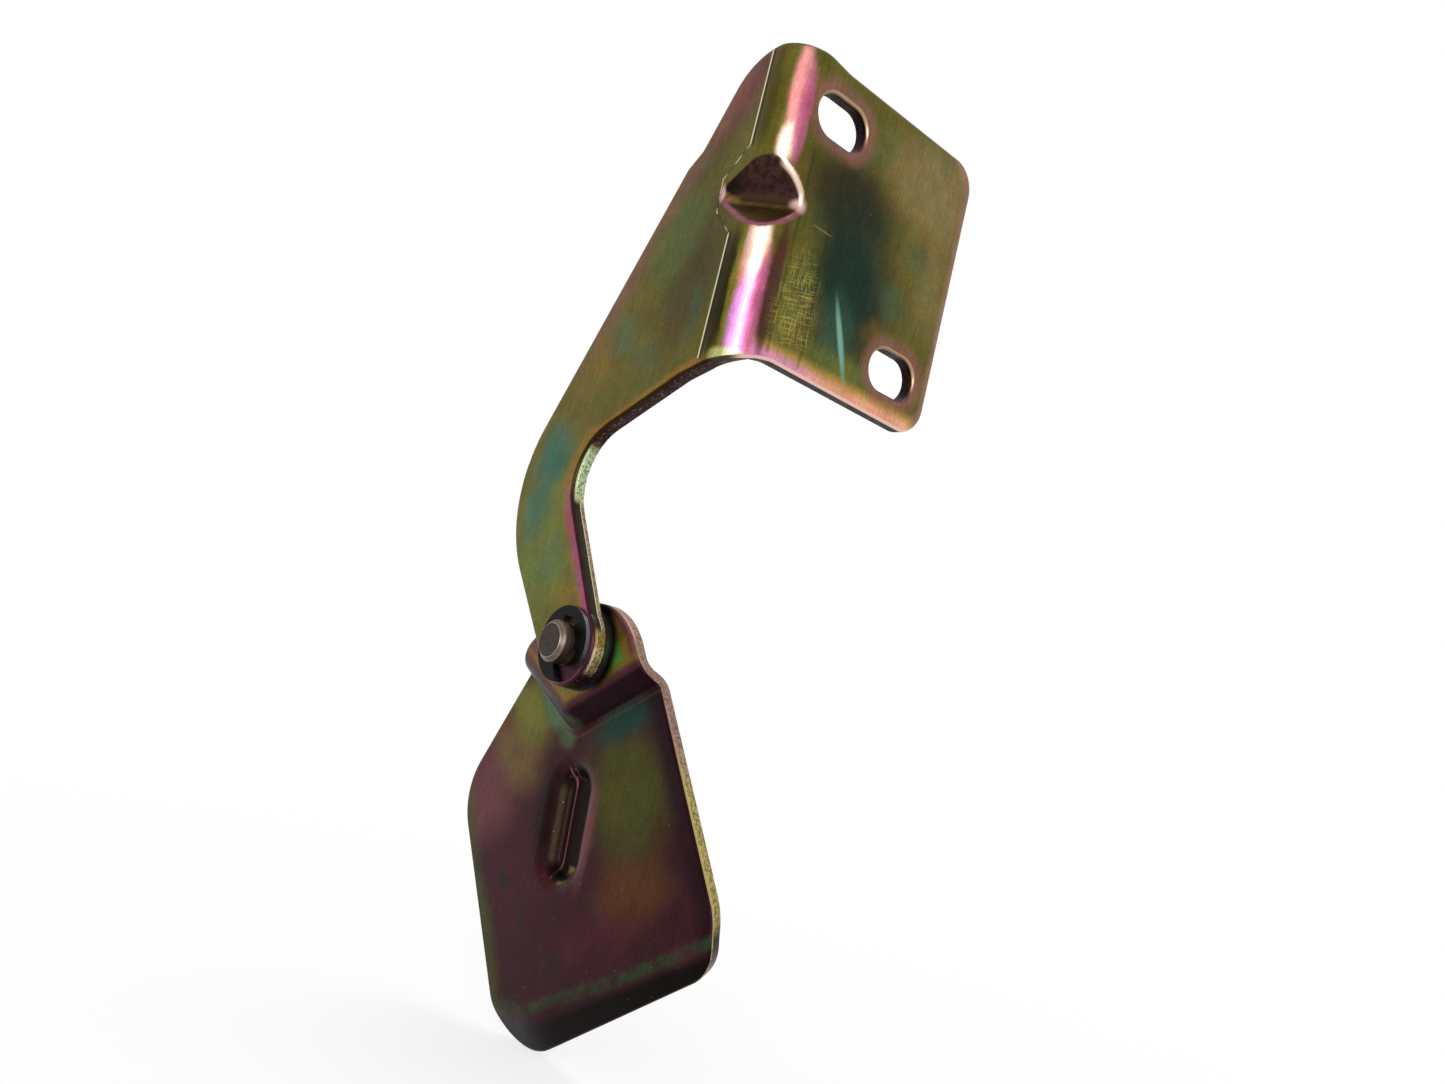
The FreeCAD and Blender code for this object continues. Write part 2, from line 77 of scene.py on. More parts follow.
# %% The helper
class Finish:
    """One material under construction. Each method adds a node and hands back its output."""

    def __init__(self, name):
        self.material = bpy.data.materials.new(name)
        self.material.use_nodes = True
        self.tree = self.material.node_tree
        self.shader = self.tree.nodes["Principled BSDF"]

    def node(self, kind, **settings):
        made = self.tree.nodes.new(kind)
        for key, value in settings.items():
            setattr(made, key, value)
        return made

    def feed(self, value, socket):
        if isinstance(value, bpy.types.NodeSocket):
            self.tree.links.new(value, socket)
        else:
            socket.default_value = value

    def calc(self, operation, *values, clamp=False):
        made = self.node("ShaderNodeMath", operation=operation, use_clamp=clamp)
        for value, socket in zip(values, made.inputs):
            self.feed(value, socket)
        return made.outputs[0]

    def vector(self, operation, *values):
        made = self.node("ShaderNodeVectorMath", operation=operation)
        for value, socket in zip(values, made.inputs):
            self.feed(value, socket)
        return made.outputs["Value" if operation in ("LENGTH", "DOT_PRODUCT") else "Vector"]

    def scaled(self, vector, amount):
        """A vector or a colour times a plain number."""
        made = self.node("ShaderNodeVectorMath", operation="SCALE")
        self.feed(vector, made.inputs[0])
        self.feed(amount, made.inputs["Scale"])
        return made.outputs["Vector"]

    def split(self, vector):
        made = self.node("ShaderNodeSeparateXYZ")
        self.feed(vector, made.inputs[0])
        return made.outputs[0], made.outputs[1], made.outputs[2]

    def joined(self, x, y, z=0.0):
        made = self.node("ShaderNodeCombineXYZ")
        for value, socket in zip((x, y, z), made.inputs):
            self.feed(value, socket)
        return made.outputs[0]

    def fade(self, value, start, end, low=0.0, high=1.0):
        """Goes smoothly from low at start to high at end."""
        made = self.node("ShaderNodeMapRange", interpolation_type="SMOOTHSTEP")
        for given, socket in zip((value, start, end, low, high), made.inputs):
            self.feed(given, socket)
        return made.outputs[0]

    def noise(self, place, size, detail=2.0, rough=0.5, seed=0.0):
        """Cloudy noise around 0.5, whose features are about this many millimetres across."""
        made = self.node("ShaderNodeTexNoise")
        shifted = self.vector("ADD", place, (seed * 17.0, seed * 31.0, seed * 7.0))
        self.feed(self.scaled(shifted, 1.0 / size), made.inputs["Vector"])
        made.inputs["Scale"].default_value = 1.0
        made.inputs["Detail"].default_value = detail
        made.inputs["Roughness"].default_value = rough
        return made.outputs["Fac"]

    def mix(self, amount, under, over):
        made = self.node("ShaderNodeMix", data_type="RGBA", clamp_factor=True)
        for value, socket in ((amount, made.inputs[0]), (under, made.inputs[6]), (over, made.inputs[7])):
            self.feed(value, socket)
        return made.outputs[2]

    def streaks(self, flat, width, length, lean_deg=0.0, seed=0.0):
        """Noise drawn out into fine lines, which run up the sheet when the lean is 0."""
        lean = math.radians(lean_deg)
        across = self.vector("DOT_PRODUCT", flat, (math.cos(lean) / width, -math.sin(lean) / width, 0.0))
        along = self.vector("DOT_PRODUCT", flat, (math.sin(lean) / length, math.cos(lean) / length, 0.0))
        return self.noise(self.joined(across, along), 1.0, 3.0, 0.6, seed)

    def band(self, value, low, high, soft):
        """1 where the value lies between low and high, 0 outside."""
        rise = self.fade(value, low - soft, low + soft)
        return self.calc("MULTIPLY", rise, self.fade(value, high + soft, high - soft))

    def tint(self, colour, amount, cool, warm):
        """The colour times a tint that goes from cool to warm."""
        return self.vector("MULTIPLY", colour, self.mix(amount, cool, warm))

    def bump(self, height, depth_mm, under=None):
        made = self.node("ShaderNodeBump")
        made.inputs["Distance"].default_value = depth_mm / 1000.0
        self.feed(height, made.inputs["Height"])
        if under is not None:
            self.feed(under, made.inputs["Normal"])
        return made.outputs[0]


def colour(red, green, blue):
    """An ordinary screen colour, 0 to 255, as the renderer counts it."""
    channels = []
    for value in (red, green, blue):
        part = value / 255.0
        channels.append(part / 12.92 if part <= 0.04045 else ((part + 0.055) / 1.055) ** 2.4)
    return (*channels, 1.0)


def place_from_pivot(finish):
    """Where the shaded point is on its piece, in millimetres from the pivot."""
    spot = finish.node("ShaderNodeTexCoord").outputs["Object"]
    return finish.scaled(finish.vector("SUBTRACT", spot, tuple(pivot)), 1000.0)


def own_normal(finish):
    return finish.node("ShaderNodeTexCoord").outputs["Normal"]


print("bench ready")

# %% [markdown]
# ## Patches and lines on a flat sheet
# A chromate film is thinner here and thicker there, and each thickness has its own colour,
# like oil on water. Two tools paint it: soft oval patches, and bands that follow a line
# by their distance from it.

# %% Patches and lines
def patch(finish, flat, centre, radii, lean_deg=0.0, soft=0.75, strength=1.0):
    """The strength in the middle of an oval, 0 outside it."""
    oval = finish.node("ShaderNodeMapping", vector_type="TEXTURE")
    finish.feed(flat, oval.inputs["Vector"])
    oval.inputs["Location"].default_value = (*centre, 0.0)
    oval.inputs["Rotation"].default_value = (0.0, 0.0, math.radians(lean_deg))
    oval.inputs["Scale"].default_value = (*radii, 1.0)
    return finish.fade(finish.vector("LENGTH", oval.outputs[0]), 1.0, 1.0 - soft, 0.0, strength)


def stretch_distance(finish, flat, start, end):
    """Distance from a straight stretch between two points."""
    run = (end[0] - start[0], end[1] - start[1], 0.0)
    from_start = finish.vector("SUBTRACT", flat, (start[0], start[1], 0.0))
    share = finish.calc(
        "DIVIDE", finish.vector("DOT_PRODUCT", from_start, run), run[0] ** 2 + run[1] ** 2, clamp=True
    )
    nearest = finish.scaled(run, share)
    return finish.vector("LENGTH", finish.vector("SUBTRACT", from_start, nearest))


def line_distance(finish, flat, points):
    """Distance from a line of several straight stretches."""
    nearest = None
    for start, end in zip(points, points[1:]):
        here = stretch_distance(finish, flat, start, end)
        nearest = here if nearest is None else finish.calc("MINIMUM", nearest, here)
    return nearest


def wandering(finish, flat, reach, size, seed):
    """The same place pushed about by noise, so that a stain's rim isn't drawn with a compass."""
    push_x = finish.calc("MULTIPLY_ADD", finish.noise(flat, size, 3.0, 0.55, seed), reach * 2, -reach)
    push_y = finish.calc("MULTIPLY_ADD", finish.noise(flat, size, 3.0, 0.55, seed + 1), reach * 2, -reach)
    return finish.vector("ADD", flat, finish.joined(push_x, push_y))


def painted(finish, under, flat, patches, soft=0.75):
    """A table of patches laid one over the other."""
    for tone, strength, centre, radii, lean_deg in patches:
        under = finish.mix(patch(finish, flat, centre, radii, lean_deg, soft, strength), under, tone)
    return under


print("patches and lines ready")

# %% [markdown]
# ## The arm as a flat blank
# Before it was bent, the arm was one flat blank, and its film runs round the bend without a seam.
# So the colours are laid out on the blank: straight up the web, round the bend by arc length,
# and on across the flange. The same sum gives the depth below the outer skin,
# which says how deep a point of a sheared edge lies.

# %% The blank's own coordinates
SHEET = 3.0
BEND_X = 19.0
BEND_R = 7.0


def on_the_blank(finish, place):
    """(across and up on the flat blank, depth below the outer skin, the skin's direction)."""
    x, y, z = finish.split(place)
    past_x = finish.calc("MAXIMUM", finish.calc("SUBTRACT", x, BEND_X), 0.0)
    before_y = finish.calc("MAXIMUM", finish.calc("SUBTRACT", BEND_R, y), 0.0)
    turn = finish.calc("ARCTAN2", past_x, before_y)
    across = finish.calc("MULTIPLY_ADD", turn, BEND_R, finish.calc("MINIMUM", x, BEND_X))
    across = finish.calc("ADD", across, finish.calc("MAXIMUM", finish.calc("SUBTRACT", y, BEND_R), 0.0))
    spoke = finish.joined(past_x, finish.calc("MULTIPLY", before_y, -1.0))
    depth = finish.calc("SUBTRACT", BEND_R, finish.vector("LENGTH", spoke))
    return finish.joined(across, z), depth, finish.vector("NORMALIZE", spoke)


FLANGE_START = BEND_X + BEND_R * math.pi / 2
print("the flange starts", round(FLANGE_START, 2), "mm across the blank")


def flange_point(y, z):
    """A place on the flange, given by its depth behind the web's face, as a place on the blank."""
    return (FLANGE_START + y - BEND_R, z)


# %% [markdown]
# ## Yellow zinc on the arm
# Yellow zinc goes from olive through green to teal where the film thickens, and to plum and pink where it
# thins out. It thins at edges, round the slots and over the bend, where the steel was stretched. Down the
# bend, the stripe's pale blush core is film colour with painted highlight, and the dark bands either side
# of it are painted shade.
# Each patch is a colour, its strength, its middle, its two radii and its lean in degrees.

# %% The arm's colours
OLIVE = colour(97, 88, 36)
OLIVE_GREEN = colour(102, 109, 52)
MOSSY = colour(80, 93, 48)
TEAL = colour(62, 100, 82)
DEEP_TEAL = colour(30, 48, 38)
UMBER = colour(70, 62, 33)
DARK_UMBER = colour(48, 41, 24)
PLUM = colour(100, 54, 62)
MAUVE = colour(120, 82, 70)
TAN = colour(132, 113, 72)
ORANGE = colour(138, 100, 42)
GOLD = colour(176, 138, 68)
MAGENTA = colour(152, 74, 112)
CREAM = colour(214, 188, 152)
NEAR_BLACK = colour(26, 20, 17)

WEB_PATCHES = (
    (OLIVE_GREEN, 0.9, (-14.0, 20.0), (20.0, 26.0), 0.0),
    (ORANGE, 0.3, (-14.0, 57.0), (9.0, 12.0), -25.0),
    (UMBER, 0.85, (10.0, 72.0), (12.0, 24.0), -10.0),
    (MOSSY, 0.8, (3.0, 80.0), (9.0, 14.0), -20.0),
    (UMBER, 0.7, (6.0, 96.0), (9.0, 12.0), -20.0),
    (PLUM, 1.0, (10.0, 110.0), (11.0, 15.0), -25.0),
    (TEAL, 0.35, (-6.0, 61.0), (7.0, 7.0), 20.0),
    (TEAL, 0.25, (2.0, 56.0), (6.0, 5.0), 0.0),
    (TEAL, 0.3, (13.0, 64.0), (3.0, 9.0), 0.0),
    (TEAL, 1.0, (-20.0, 36.0), (7.5, 10.0), 10.0),
    (TEAL, 0.8, (-21.0, 25.0), (6.5, 9.0), -15.0),
    (TEAL, 0.3, (-12.0, 16.0), (6.0, 7.0), 0.0),
    (ORANGE, 0.4, (-4.0, 9.0), (6.0, 6.0), 0.0),
    (ORANGE, 0.3, (-27.0, 42.0), (4.0, 9.0), -15.0),
)
FLANGE_PATCHES = (
    (TAN, 0.9, flange_point(42.0, 106.0), (22.0, 14.0), 0.0),
    (TAN, 0.55, flange_point(48.0, 88.0), (8.0, 15.0), 0.0),
    (MOSSY, 0.5, flange_point(25.0, 108.0), (8.0, 6.0), 0.0),
    (DARK_UMBER, 0.95, flange_point(20.0, 94.0), (17.0, 13.0), 0.0),
    (DEEP_TEAL, 1.0, flange_point(25.0, 79.0), (18.0, 25.0), 12.0),
    (TEAL, 0.4, flange_point(24.0, 69.0), (7.0, 9.0), 0.0),
    (TEAL, 0.25, flange_point(42.0, 92.0), (5.0, 6.0), 0.0),
    (TEAL, 0.3, flange_point(38.0, 80.0), (6.0, 6.0), 0.0),
    (OLIVE_GREEN, 0.8, flange_point(27.0, 62.0), (13.0, 5.0), 0.0),
    (ORANGE, 0.3, flange_point(34.0, 73.0), (6.0, 4.0), 20.0),
)
# Painted shade for the dark bands either side of the bend's bright stripe.
BEND_PAINTED_SHADE = colour(46, 40, 20)
LIME = colour(124, 116, 46)
SALMON = colour(196, 128, 104)
BLUSH_HIGHLIGHT = colour(228, 184, 170)
VIOLET = colour(210, 132, 202)
CERISE = colour(184, 92, 130)
PALE_LIME = colour(196, 198, 132)
DUSKY_PINK = colour(190, 120, 124)
BEND_SHADE_PLUM_BROWN = colour(78, 48, 42)
# The bend's stripe: film colours, a pale blush core that is painted highlight, and dark bands of painted
# shade at both sides.
BEND_PATCHES = (
    (BEND_PAINTED_SHADE, 0.95, (19.8, 67.0), (2.8, 16.0), 0.0),
    (BEND_PAINTED_SHADE, 0.45, (19.8, 105.0), (2.4, 12.0), 0.0),
    (LIME, 0.85, (22.2, 69.0), (1.6, 15.0), 0.0),
    (SALMON, 0.85, (23.2, 74.0), (1.6, 9.0), 0.0),
    (BLUSH_HIGHLIGHT, 0.95, (24.6, 77.0), (2.8, 9.0), 0.0),
    (DUSKY_PINK, 0.9, (25.4, 108.0), (2.4, 12.0), 0.0),
    (BLUSH_HIGHLIGHT, 0.9, (25.2, 97.0), (2.4, 5.0), 0.0),
    (VIOLET, 0.95, (24.6, 63.0), (2.8, 12.0), 0.0),
    (CERISE, 0.9, (26.9, 66.0), (1.9, 13.0), 0.0),
    (CERISE, 0.8, (27.2, 103.0), (1.8, 12.0), 0.0),
    (BEND_SHADE_PLUM_BROWN, 0.95, (29.3, 70.0), (2.2, 17.0), 0.0),
    (PALE_LIME, 0.8, (24.0, 55.4), (5.0, 2.4), 0.0),
)
BEND_SOFT = 0.5
print(len(WEB_PATCHES) + len(FLANGE_PATCHES) + len(BEND_PATCHES), "patches on the arm")

# %% [markdown]
# ## Edges, slots and the mark of the bending die
# The bands along edges need the outlines, so the main corners are repeated here as short lines.
# The press left a thin crease on the web, where the edge of its die stood, with a kink round the dart.
# Its bright side is painted highlight and its dark side painted shade.

# %% Lines on the arm
FLANGE_LOW = 57.2
FLANGE_HIGH = 116.1
FLANGE_REACH = 53.6
SLOT_HALF = 2.45
SLOT_R = 4.25
SLOT_CENTRES = ((13.9, 106.55), (42.05, 66.9))
DART_Z = 87.3

WEB_BACK = ((10.0, 113.0), (3.5, 98.2), (0.2, 95.0), (-21.5, 52.0), (-27.5, 40.0))
WEB_LOW = ((-7.0, 40.5), (13.5, 51.9), (19.0, 53.8))
NECK_INSIDE = ((6.5, 4.5), (-8.5, 25.0), (-11.3, 31.5), (-8.5, 39.0))
DIE_MARKS = (((17.6, 55.0), (17.6, 79.0)), ((17.6, 96.6), (17.6, 116.0)))
DIE_KINK = ((17.6, 79.0), (12.6, 84.0), (12.2, 90.6), (17.6, 96.6))
FLANGE_FOOT = (flange_point(3.0, FLANGE_LOW), flange_point(FLANGE_REACH - 5, FLANGE_LOW))
FLANGE_SIDE = tuple(
    flange_point(y, z)
    for y, z in ((FLANGE_REACH - 4, FLANGE_LOW + 0.5), (FLANGE_REACH, FLANGE_LOW + 5),
                 (FLANGE_REACH, FLANGE_HIGH - 5), (FLANGE_REACH - 5, FLANGE_HIGH))
)


def slot_distance(finish, flat):
    """Distance outside the rim of the nearer slot."""
    nearest = None
    for y, z in SLOT_CENTRES:
        left, right = flange_point(y - SLOT_HALF, z), flange_point(y + SLOT_HALF, z)
        here = stretch_distance(finish, flat, left, right)
        nearest = here if nearest is None else finish.calc("MINIMUM", nearest, here)
    return finish.calc("SUBTRACT", nearest, SLOT_R)


kink_mm = sum(math.dist(start, end) for start, end in zip(DIE_KINK, DIE_KINK[1:]))
print(len(SLOT_CENTRES), "slots, and a kink of", round(kink_mm, 1), "mm in the die mark")

# %% [markdown]
# ## Thin film along the rims
# Each rim gets a run of colours by its distance: orange or gold first, then magenta or pink where the
# film is thinnest. Under the clip the arm gets painted shade, nearly black.
# Each pair below says where such a band starts and where it is full, in millimetres from the rim.

# %% The arm's rims
RIM_PINK = colour(226, 138, 184)
RIM_PEACH = colour(228, 160, 130)
SIDE_MAUVE = colour(146, 112, 96)
SLOT_PLUM = colour(136, 90, 82)
BACK_BAND = (7.0, 1.0)
LOW_BAND = (2.4, 1.2)
NECK_ORANGE = (4.5, 1.6)
NECK_MAGENTA = (3.0, 1.4)
PIN_MAGENTA = (11.5, 8.5)
PIN_SHADE_RING = (7.5, 6.9)
SIDE_BAND = (2.6, 0.8)
FOOT_GOLD = (4.6, 2.6)
FOOT_RIM = (3.2, 1.2)
SLOT_RING = (4.0, 1.0)
PINK_ENDS = flange_point(12.0, 0.0)[0]
PEACH_STARTS = flange_point(26.0, 0.0)[0]


def arm_rims(finish, flat, loose, tone):
    across, up, _ = finish.split(flat)
    back = line_distance(finish, loose, WEB_BACK)
    high_up = finish.fade(up, 50.0, 66.0)
    thin = finish.calc("MULTIPLY", finish.fade(back, *BACK_BAND, 0.0, 0.75), high_up)
    tone = finish.mix(thin, tone, MAUVE)
    low = line_distance(finish, flat, WEB_LOW)
    tone = finish.mix(finish.fade(low, *LOW_BAND, 0.0, 0.85), tone, ORANGE)
    neck = line_distance(finish, flat, NECK_INSIDE)
    tone = finish.mix(finish.fade(neck, *NECK_ORANGE, 0.0, 0.8), tone, ORANGE)
    by_pin = finish.fade(up, 34.0, 24.0)
    thin = finish.calc("MULTIPLY", finish.fade(neck, *NECK_MAGENTA, 0.0, 0.85), by_pin)
    tone = finish.mix(thin, tone, MAGENTA)

    from_pin = finish.vector("LENGTH", flat)
    right_of_pin = finish.fade(finish.vector("DOT_PRODUCT", flat, (0.9, -0.45, 0.0)), -2.5, 1.5)
    thin = finish.calc("MULTIPLY", finish.fade(from_pin, *PIN_MAGENTA), right_of_pin)
    tone = finish.mix(thin, tone, MAGENTA)
    # Painted shade, nearly black, on the arm round the pin under the clip.
    tone = finish.mix(finish.fade(from_pin, *PIN_SHADE_RING, 0.0, 0.9), tone, NEAR_BLACK)

    side = line_distance(finish, flat, FLANGE_SIDE)
    tone = finish.mix(finish.fade(side, *SIDE_BAND, 0.0, 0.85), tone, SIDE_MAUVE)
    foot = line_distance(finish, flat, FLANGE_FOOT)
    tone = finish.mix(finish.fade(foot, *FOOT_GOLD, 0.0, 0.95), tone, GOLD)
    rim_tone = finish.mix(finish.fade(across, PINK_ENDS, PEACH_STARTS), RIM_PINK, RIM_PEACH)
    tone = finish.mix(finish.fade(foot, *FOOT_RIM, 0.0, 0.95), tone, rim_tone)
    slot = slot_distance(finish, flat)
    return finish.mix(finish.fade(slot, *SLOT_RING, 0.0, 0.75), tone, SLOT_PLUM)


print("the foot is pink until", round(PINK_ENDS, 1), "and peach from", round(PEACH_STARTS, 1), "mm")

# %% [markdown]
# ## Marks of the press and of handling
# The die mark is a real crease: its bright hairline is painted highlight, beside a dark side of painted
# shade, and round the dart's kink it is painted shade with painted glints. On the flange are two more die
# lines with fine criss-cross scratches between them, one wide shiny gouge, and a short scrape.

# %% Marks on the arm
# A painted highlight colour for the die mark, the kink's glints and the cut edge's bright line.
HIGHLIGHT_LINE = colour(216, 202, 164)
SCRATCH_GOLD = colour(172, 152, 78)
SCRATCH_GREEN = colour(116, 148, 82)
GOUGE = colour(120, 168, 150)
DIE_LINES = (8.4, 16.6)
RUBBED = (flange_point(12.6, 68.0), (7.5, 16.0))
GOUGE_AT = (flange_point(25.8, 67.6), (10.2, 1.1), -65.0)
SCRAPE_AT = (flange_point(14.8, 85.1), (3.6, 0.22), 0.0)
SHADE_BESIDE = 0.5
HAIRLINE_BAND = (0.26, 0.1)
DIE_LINE_ENDS = (59.0, 98.0)
SCRATCH_WIDTH = 0.22
SCRATCH_LENGTH = 5.0
SCRATCHES = ((4.0, SCRATCH_GOLD, 52), (-14.0, SCRATCH_GREEN, 53), (78.0, SCRATCH_GOLD, 54))


def arm_marks(finish, flat, tone):
    # Painted shade beside each die mark, and a painted highlight along it.
    for start, end in DIE_MARKS:
        beside_start = (start[0] + SHADE_BESIDE, start[1])
        beside_end = (end[0] + SHADE_BESIDE, end[1])
        mark_shade = stretch_distance(finish, flat, beside_start, beside_end)
        tone = finish.mix(finish.fade(mark_shade, 0.55, 0.2, 0.0, 0.7), tone, NEAR_BLACK)
        mark = stretch_distance(finish, flat, start, end)
        tone = finish.mix(finish.fade(mark, *HAIRLINE_BAND), tone, HIGHLIGHT_LINE)
    # Painted shade along the kink round the dart, with painted glints broken up by noise.
    kink = line_distance(finish, flat, DIE_KINK)
    tone = finish.mix(finish.fade(kink, 0.45, 0.1, 0.0, 0.4), tone, NEAR_BLACK)
    glint = finish.fade(finish.noise(flat, 2.2, 2.0, 0.5, 51), 0.42, 0.60)
    kink_glints = finish.calc("MULTIPLY", finish.fade(kink, 0.2, 0.08, 0.0, 0.8), glint)
    tone = finish.mix(kink_glints, tone, HIGHLIGHT_LINE)

    for y in DIE_LINES:
        low_end, high_end = [flange_point(y, z) for z in DIE_LINE_ENDS]
        line = stretch_distance(finish, flat, low_end, high_end)
        tone = finish.mix(finish.fade(line, 0.7, 0.1, 0.0, 0.45), tone, DARK_UMBER)
    rubbed = patch(finish, flat, *RUBBED)
    for lean_deg, scratch_tone, seed in SCRATCHES:
        streaks = finish.streaks(flat, SCRATCH_WIDTH, SCRATCH_LENGTH, lean_deg, seed)
        lines = finish.calc("MULTIPLY", finish.fade(streaks, 0.52, 0.65), rubbed)
        tone = finish.mix(finish.calc("MULTIPLY", lines, 0.85), tone, scratch_tone)
    tone = finish.mix(finish.calc("MULTIPLY", patch(finish, flat, *GOUGE_AT, 0.7), 0.95), tone, GOUGE)
    return finish.mix(finish.calc("MULTIPLY", patch(finish, flat, *SCRAPE_AT, 0.5), 0.8), tone, TAN)


print(len(SCRATCHES), "sets of scratches, by die lines at", DIE_LINES, "mm")

# %% [markdown]
# ## Clouds, grain and specks
# No film is even. Broad clouds change its hue a little, fine lines follow the direction
# in which the sheet was rolled, and a few specks catch the light.

# %% Weather for both stampings
COOL = (0.93, 1.03, 1.02, 1.0)
WARM = (1.05, 0.99, 0.9, 1.0)
SPECK = colour(176, 152, 132)
CLOUD_MM = 5.0
HUE_MM = 9.0
GRAIN_MM = 0.4
LINE_WIDTH_MM = 0.4
LINE_LENGTH_MM = 7.0
SPECK_MM = 0.5
SPECK_RARE = (0.76, 0.82)


def weathered(finish, flat, place, tone, seed):
    """The tone with clouds, rolling lines, grain and specks, and the cloud and the grain themselves."""
    cloud = finish.noise(flat, CLOUD_MM, 5.0, 0.62, seed)
    hue = finish.noise(flat, HUE_MM, 4.0, 0.6, seed + 1)
    grain = finish.noise(place, GRAIN_MM, 3.0, 0.6, seed + 2)
    lines = finish.streaks(flat, LINE_WIDTH_MM, LINE_LENGTH_MM, 3.0, seed + 3)
    tone = finish.tint(tone, finish.fade(hue, 0.36, 0.64), COOL, WARM)
    tone = finish.scaled(tone, finish.fade(cloud, 0.25, 0.75, 0.84, 1.16))
    tone = finish.scaled(tone, finish.fade(lines, 0.25, 0.75, 0.86, 1.14))
    tone = finish.scaled(tone, finish.fade(grain, 0.2, 0.8, 0.84, 1.16))
    specks = finish.fade(finish.noise(flat, SPECK_MM, 1.0, 0.5, seed + 4), *SPECK_RARE)
    return finish.mix(finish.calc("MULTIPLY", specks, 0.6), tone, SPECK), cloud, grain


print("clouds of", CLOUD_MM, "mm, grain of", GRAIN_MM, "mm")

# %% [markdown]
# ## The dart's pocket
# The dart is a V pressed across the bend. Its upper wall faces down and gets painted shade, nearly black.
# Its lower wall faces up and gets painted light, olive gold. The lips between wall and skin are plum
# below and carry a painted cream highlight where they face the light. The nose is painted shade, and the
# tips get painted pink glints.

# %% The pocket
POCKET_SHADE_DARK = colour(46, 29, 29)
POCKET_SHADE_BROWN = colour(74, 49, 43)
POCKET_LIT_OLIVE = colour(116, 94, 54)
POCKET_NOSE_SHADE = colour(54, 40, 28)
LIP_PLUM = colour(136, 84, 96)
LIP_HIGHLIGHT_CREAM = colour(226, 192, 172)
TIP_GLINT_PINK = colour(204, 160, 156)
DART_HALF = (9.4, 8.8)
DART_LEFT = (10.5, 11.5)
DART_RIGHT = (36.0, 34.0)
DART_TIP_GLINTS = (((13.0, 87.6), (0.7, 2.6)), (flange_point(8.4, 87.0), (1.6, 2.0)))
DULL = (0.8, 0.84, 0.8, 1.0)
BRIGHT = (1.12, 1.05, 1.0, 1.0)


def dart_pocket(finish, place, flat, depth, normal_z, tone):
    """The tone with the dart painted in, with painted shade and highlights on its walls, lips and tips,
    and where the dart is.
    """
    across, up, _ = finish.split(flat)
    near = finish.fade(finish.calc("ABSOLUTE", finish.calc("SUBTRACT", up, DART_Z)), *DART_HALF)
    near = finish.calc("MULTIPLY", near, finish.fade(across, *DART_LEFT))
    near = finish.calc("MULTIPLY", near, finish.fade(across, *DART_RIGHT))
    sloped = finish.fade(finish.calc("ABSOLUTE", normal_z), 0.06, 0.28)
    inside = finish.calc("MAXIMUM", sloped, finish.fade(depth, 0.4, 0.9))
    inside = finish.calc("MULTIPLY", inside, near)

    # The upper wall's painted shade, with a painted cream highlight on its right lip.
    mottle = finish.noise(place, 1.2, 4.0, 0.65, 61)
    shaded_upper = finish.mix(finish.fade(mottle, 0.3, 0.75), POCKET_SHADE_DARK, POCKET_SHADE_BROWN)
    shaded_upper = finish.mix(finish.fade(across, 19.5, 14.5, 0.0, 0.9), shaded_upper, NEAR_BLACK)
    lip = finish.fade(depth, 0.9, 0.35)
    right_lip_highlight = finish.calc("MULTIPLY", lip, finish.fade(across, 24.5, 26.5))
    shaded_upper = finish.mix(right_lip_highlight, shaded_upper, LIP_HIGHLIGHT_CREAM)
    # The lower wall's painted light, olive gold, with plum on its lip.
    lower = finish.mix(lip, POCKET_LIT_OLIVE, LIP_PLUM)
    lower = finish.tint(lower, finish.fade(mottle, 0.4, 0.6), DULL, BRIGHT)
    walls = finish.mix(finish.fade(normal_z, -0.2, 0.2), shaded_upper, lower)
    # Painted shade in the V's nose.
    level = finish.fade(finish.calc("ABSOLUTE", normal_z), 0.5, 0.1)
    nose_shade = finish.calc("MULTIPLY", level, finish.fade(depth, 1.2, 2.4))
    tone = finish.mix(inside, tone, finish.mix(nose_shade, walls, POCKET_NOSE_SHADE))
    # Painted pink glints at the dart's two tips.
    for centre, radii in DART_TIP_GLINTS:
        tone = finish.mix(patch(finish, flat, centre, radii), tone, TIP_GLINT_PINK)
    return tone, near


print("the dart is painted", DART_HALF[0], "mm either side of", DART_Z, "mm up")

# %% [markdown]
# ## Sheared edges
# A punch first slices the sheet and then tears it, so a cut edge is smooth for a third of its depth and
# grainy after. Edges that face down, the flange's edges and the bracket's lowest edges get painted shade,
# brown to near black. Edges that face up or out get painted light, cream and gold, with a painted mint
# highlight in the crook. The front of the neck's flank gets a dark green painted shade and a painted
# highlight line.

# %% The sheared edge
EDGE_GOLD = colour(158, 134, 80)
EDGE_PINK = colour(150, 119, 107)
EDGE_SHADE = colour(44, 30, 27)
GRAIN_DARK = colour(84, 68, 50)
GRAIN_PINK = colour(138, 100, 92)
CROOK_HIGHLIGHT_MINT = colour(190, 208, 166)
FLANK_SHADE_GREEN = colour(26, 32, 19)
FLANK_BROWN = colour(128, 112, 90)
SLICED_TO = 0.28
TORN_FROM = 0.42
FLANK_LINE = ((-7.5, 25.0), (5.0, 6.5))
CROOK = ((-9.0, 33.0), (8.0, 7.0))


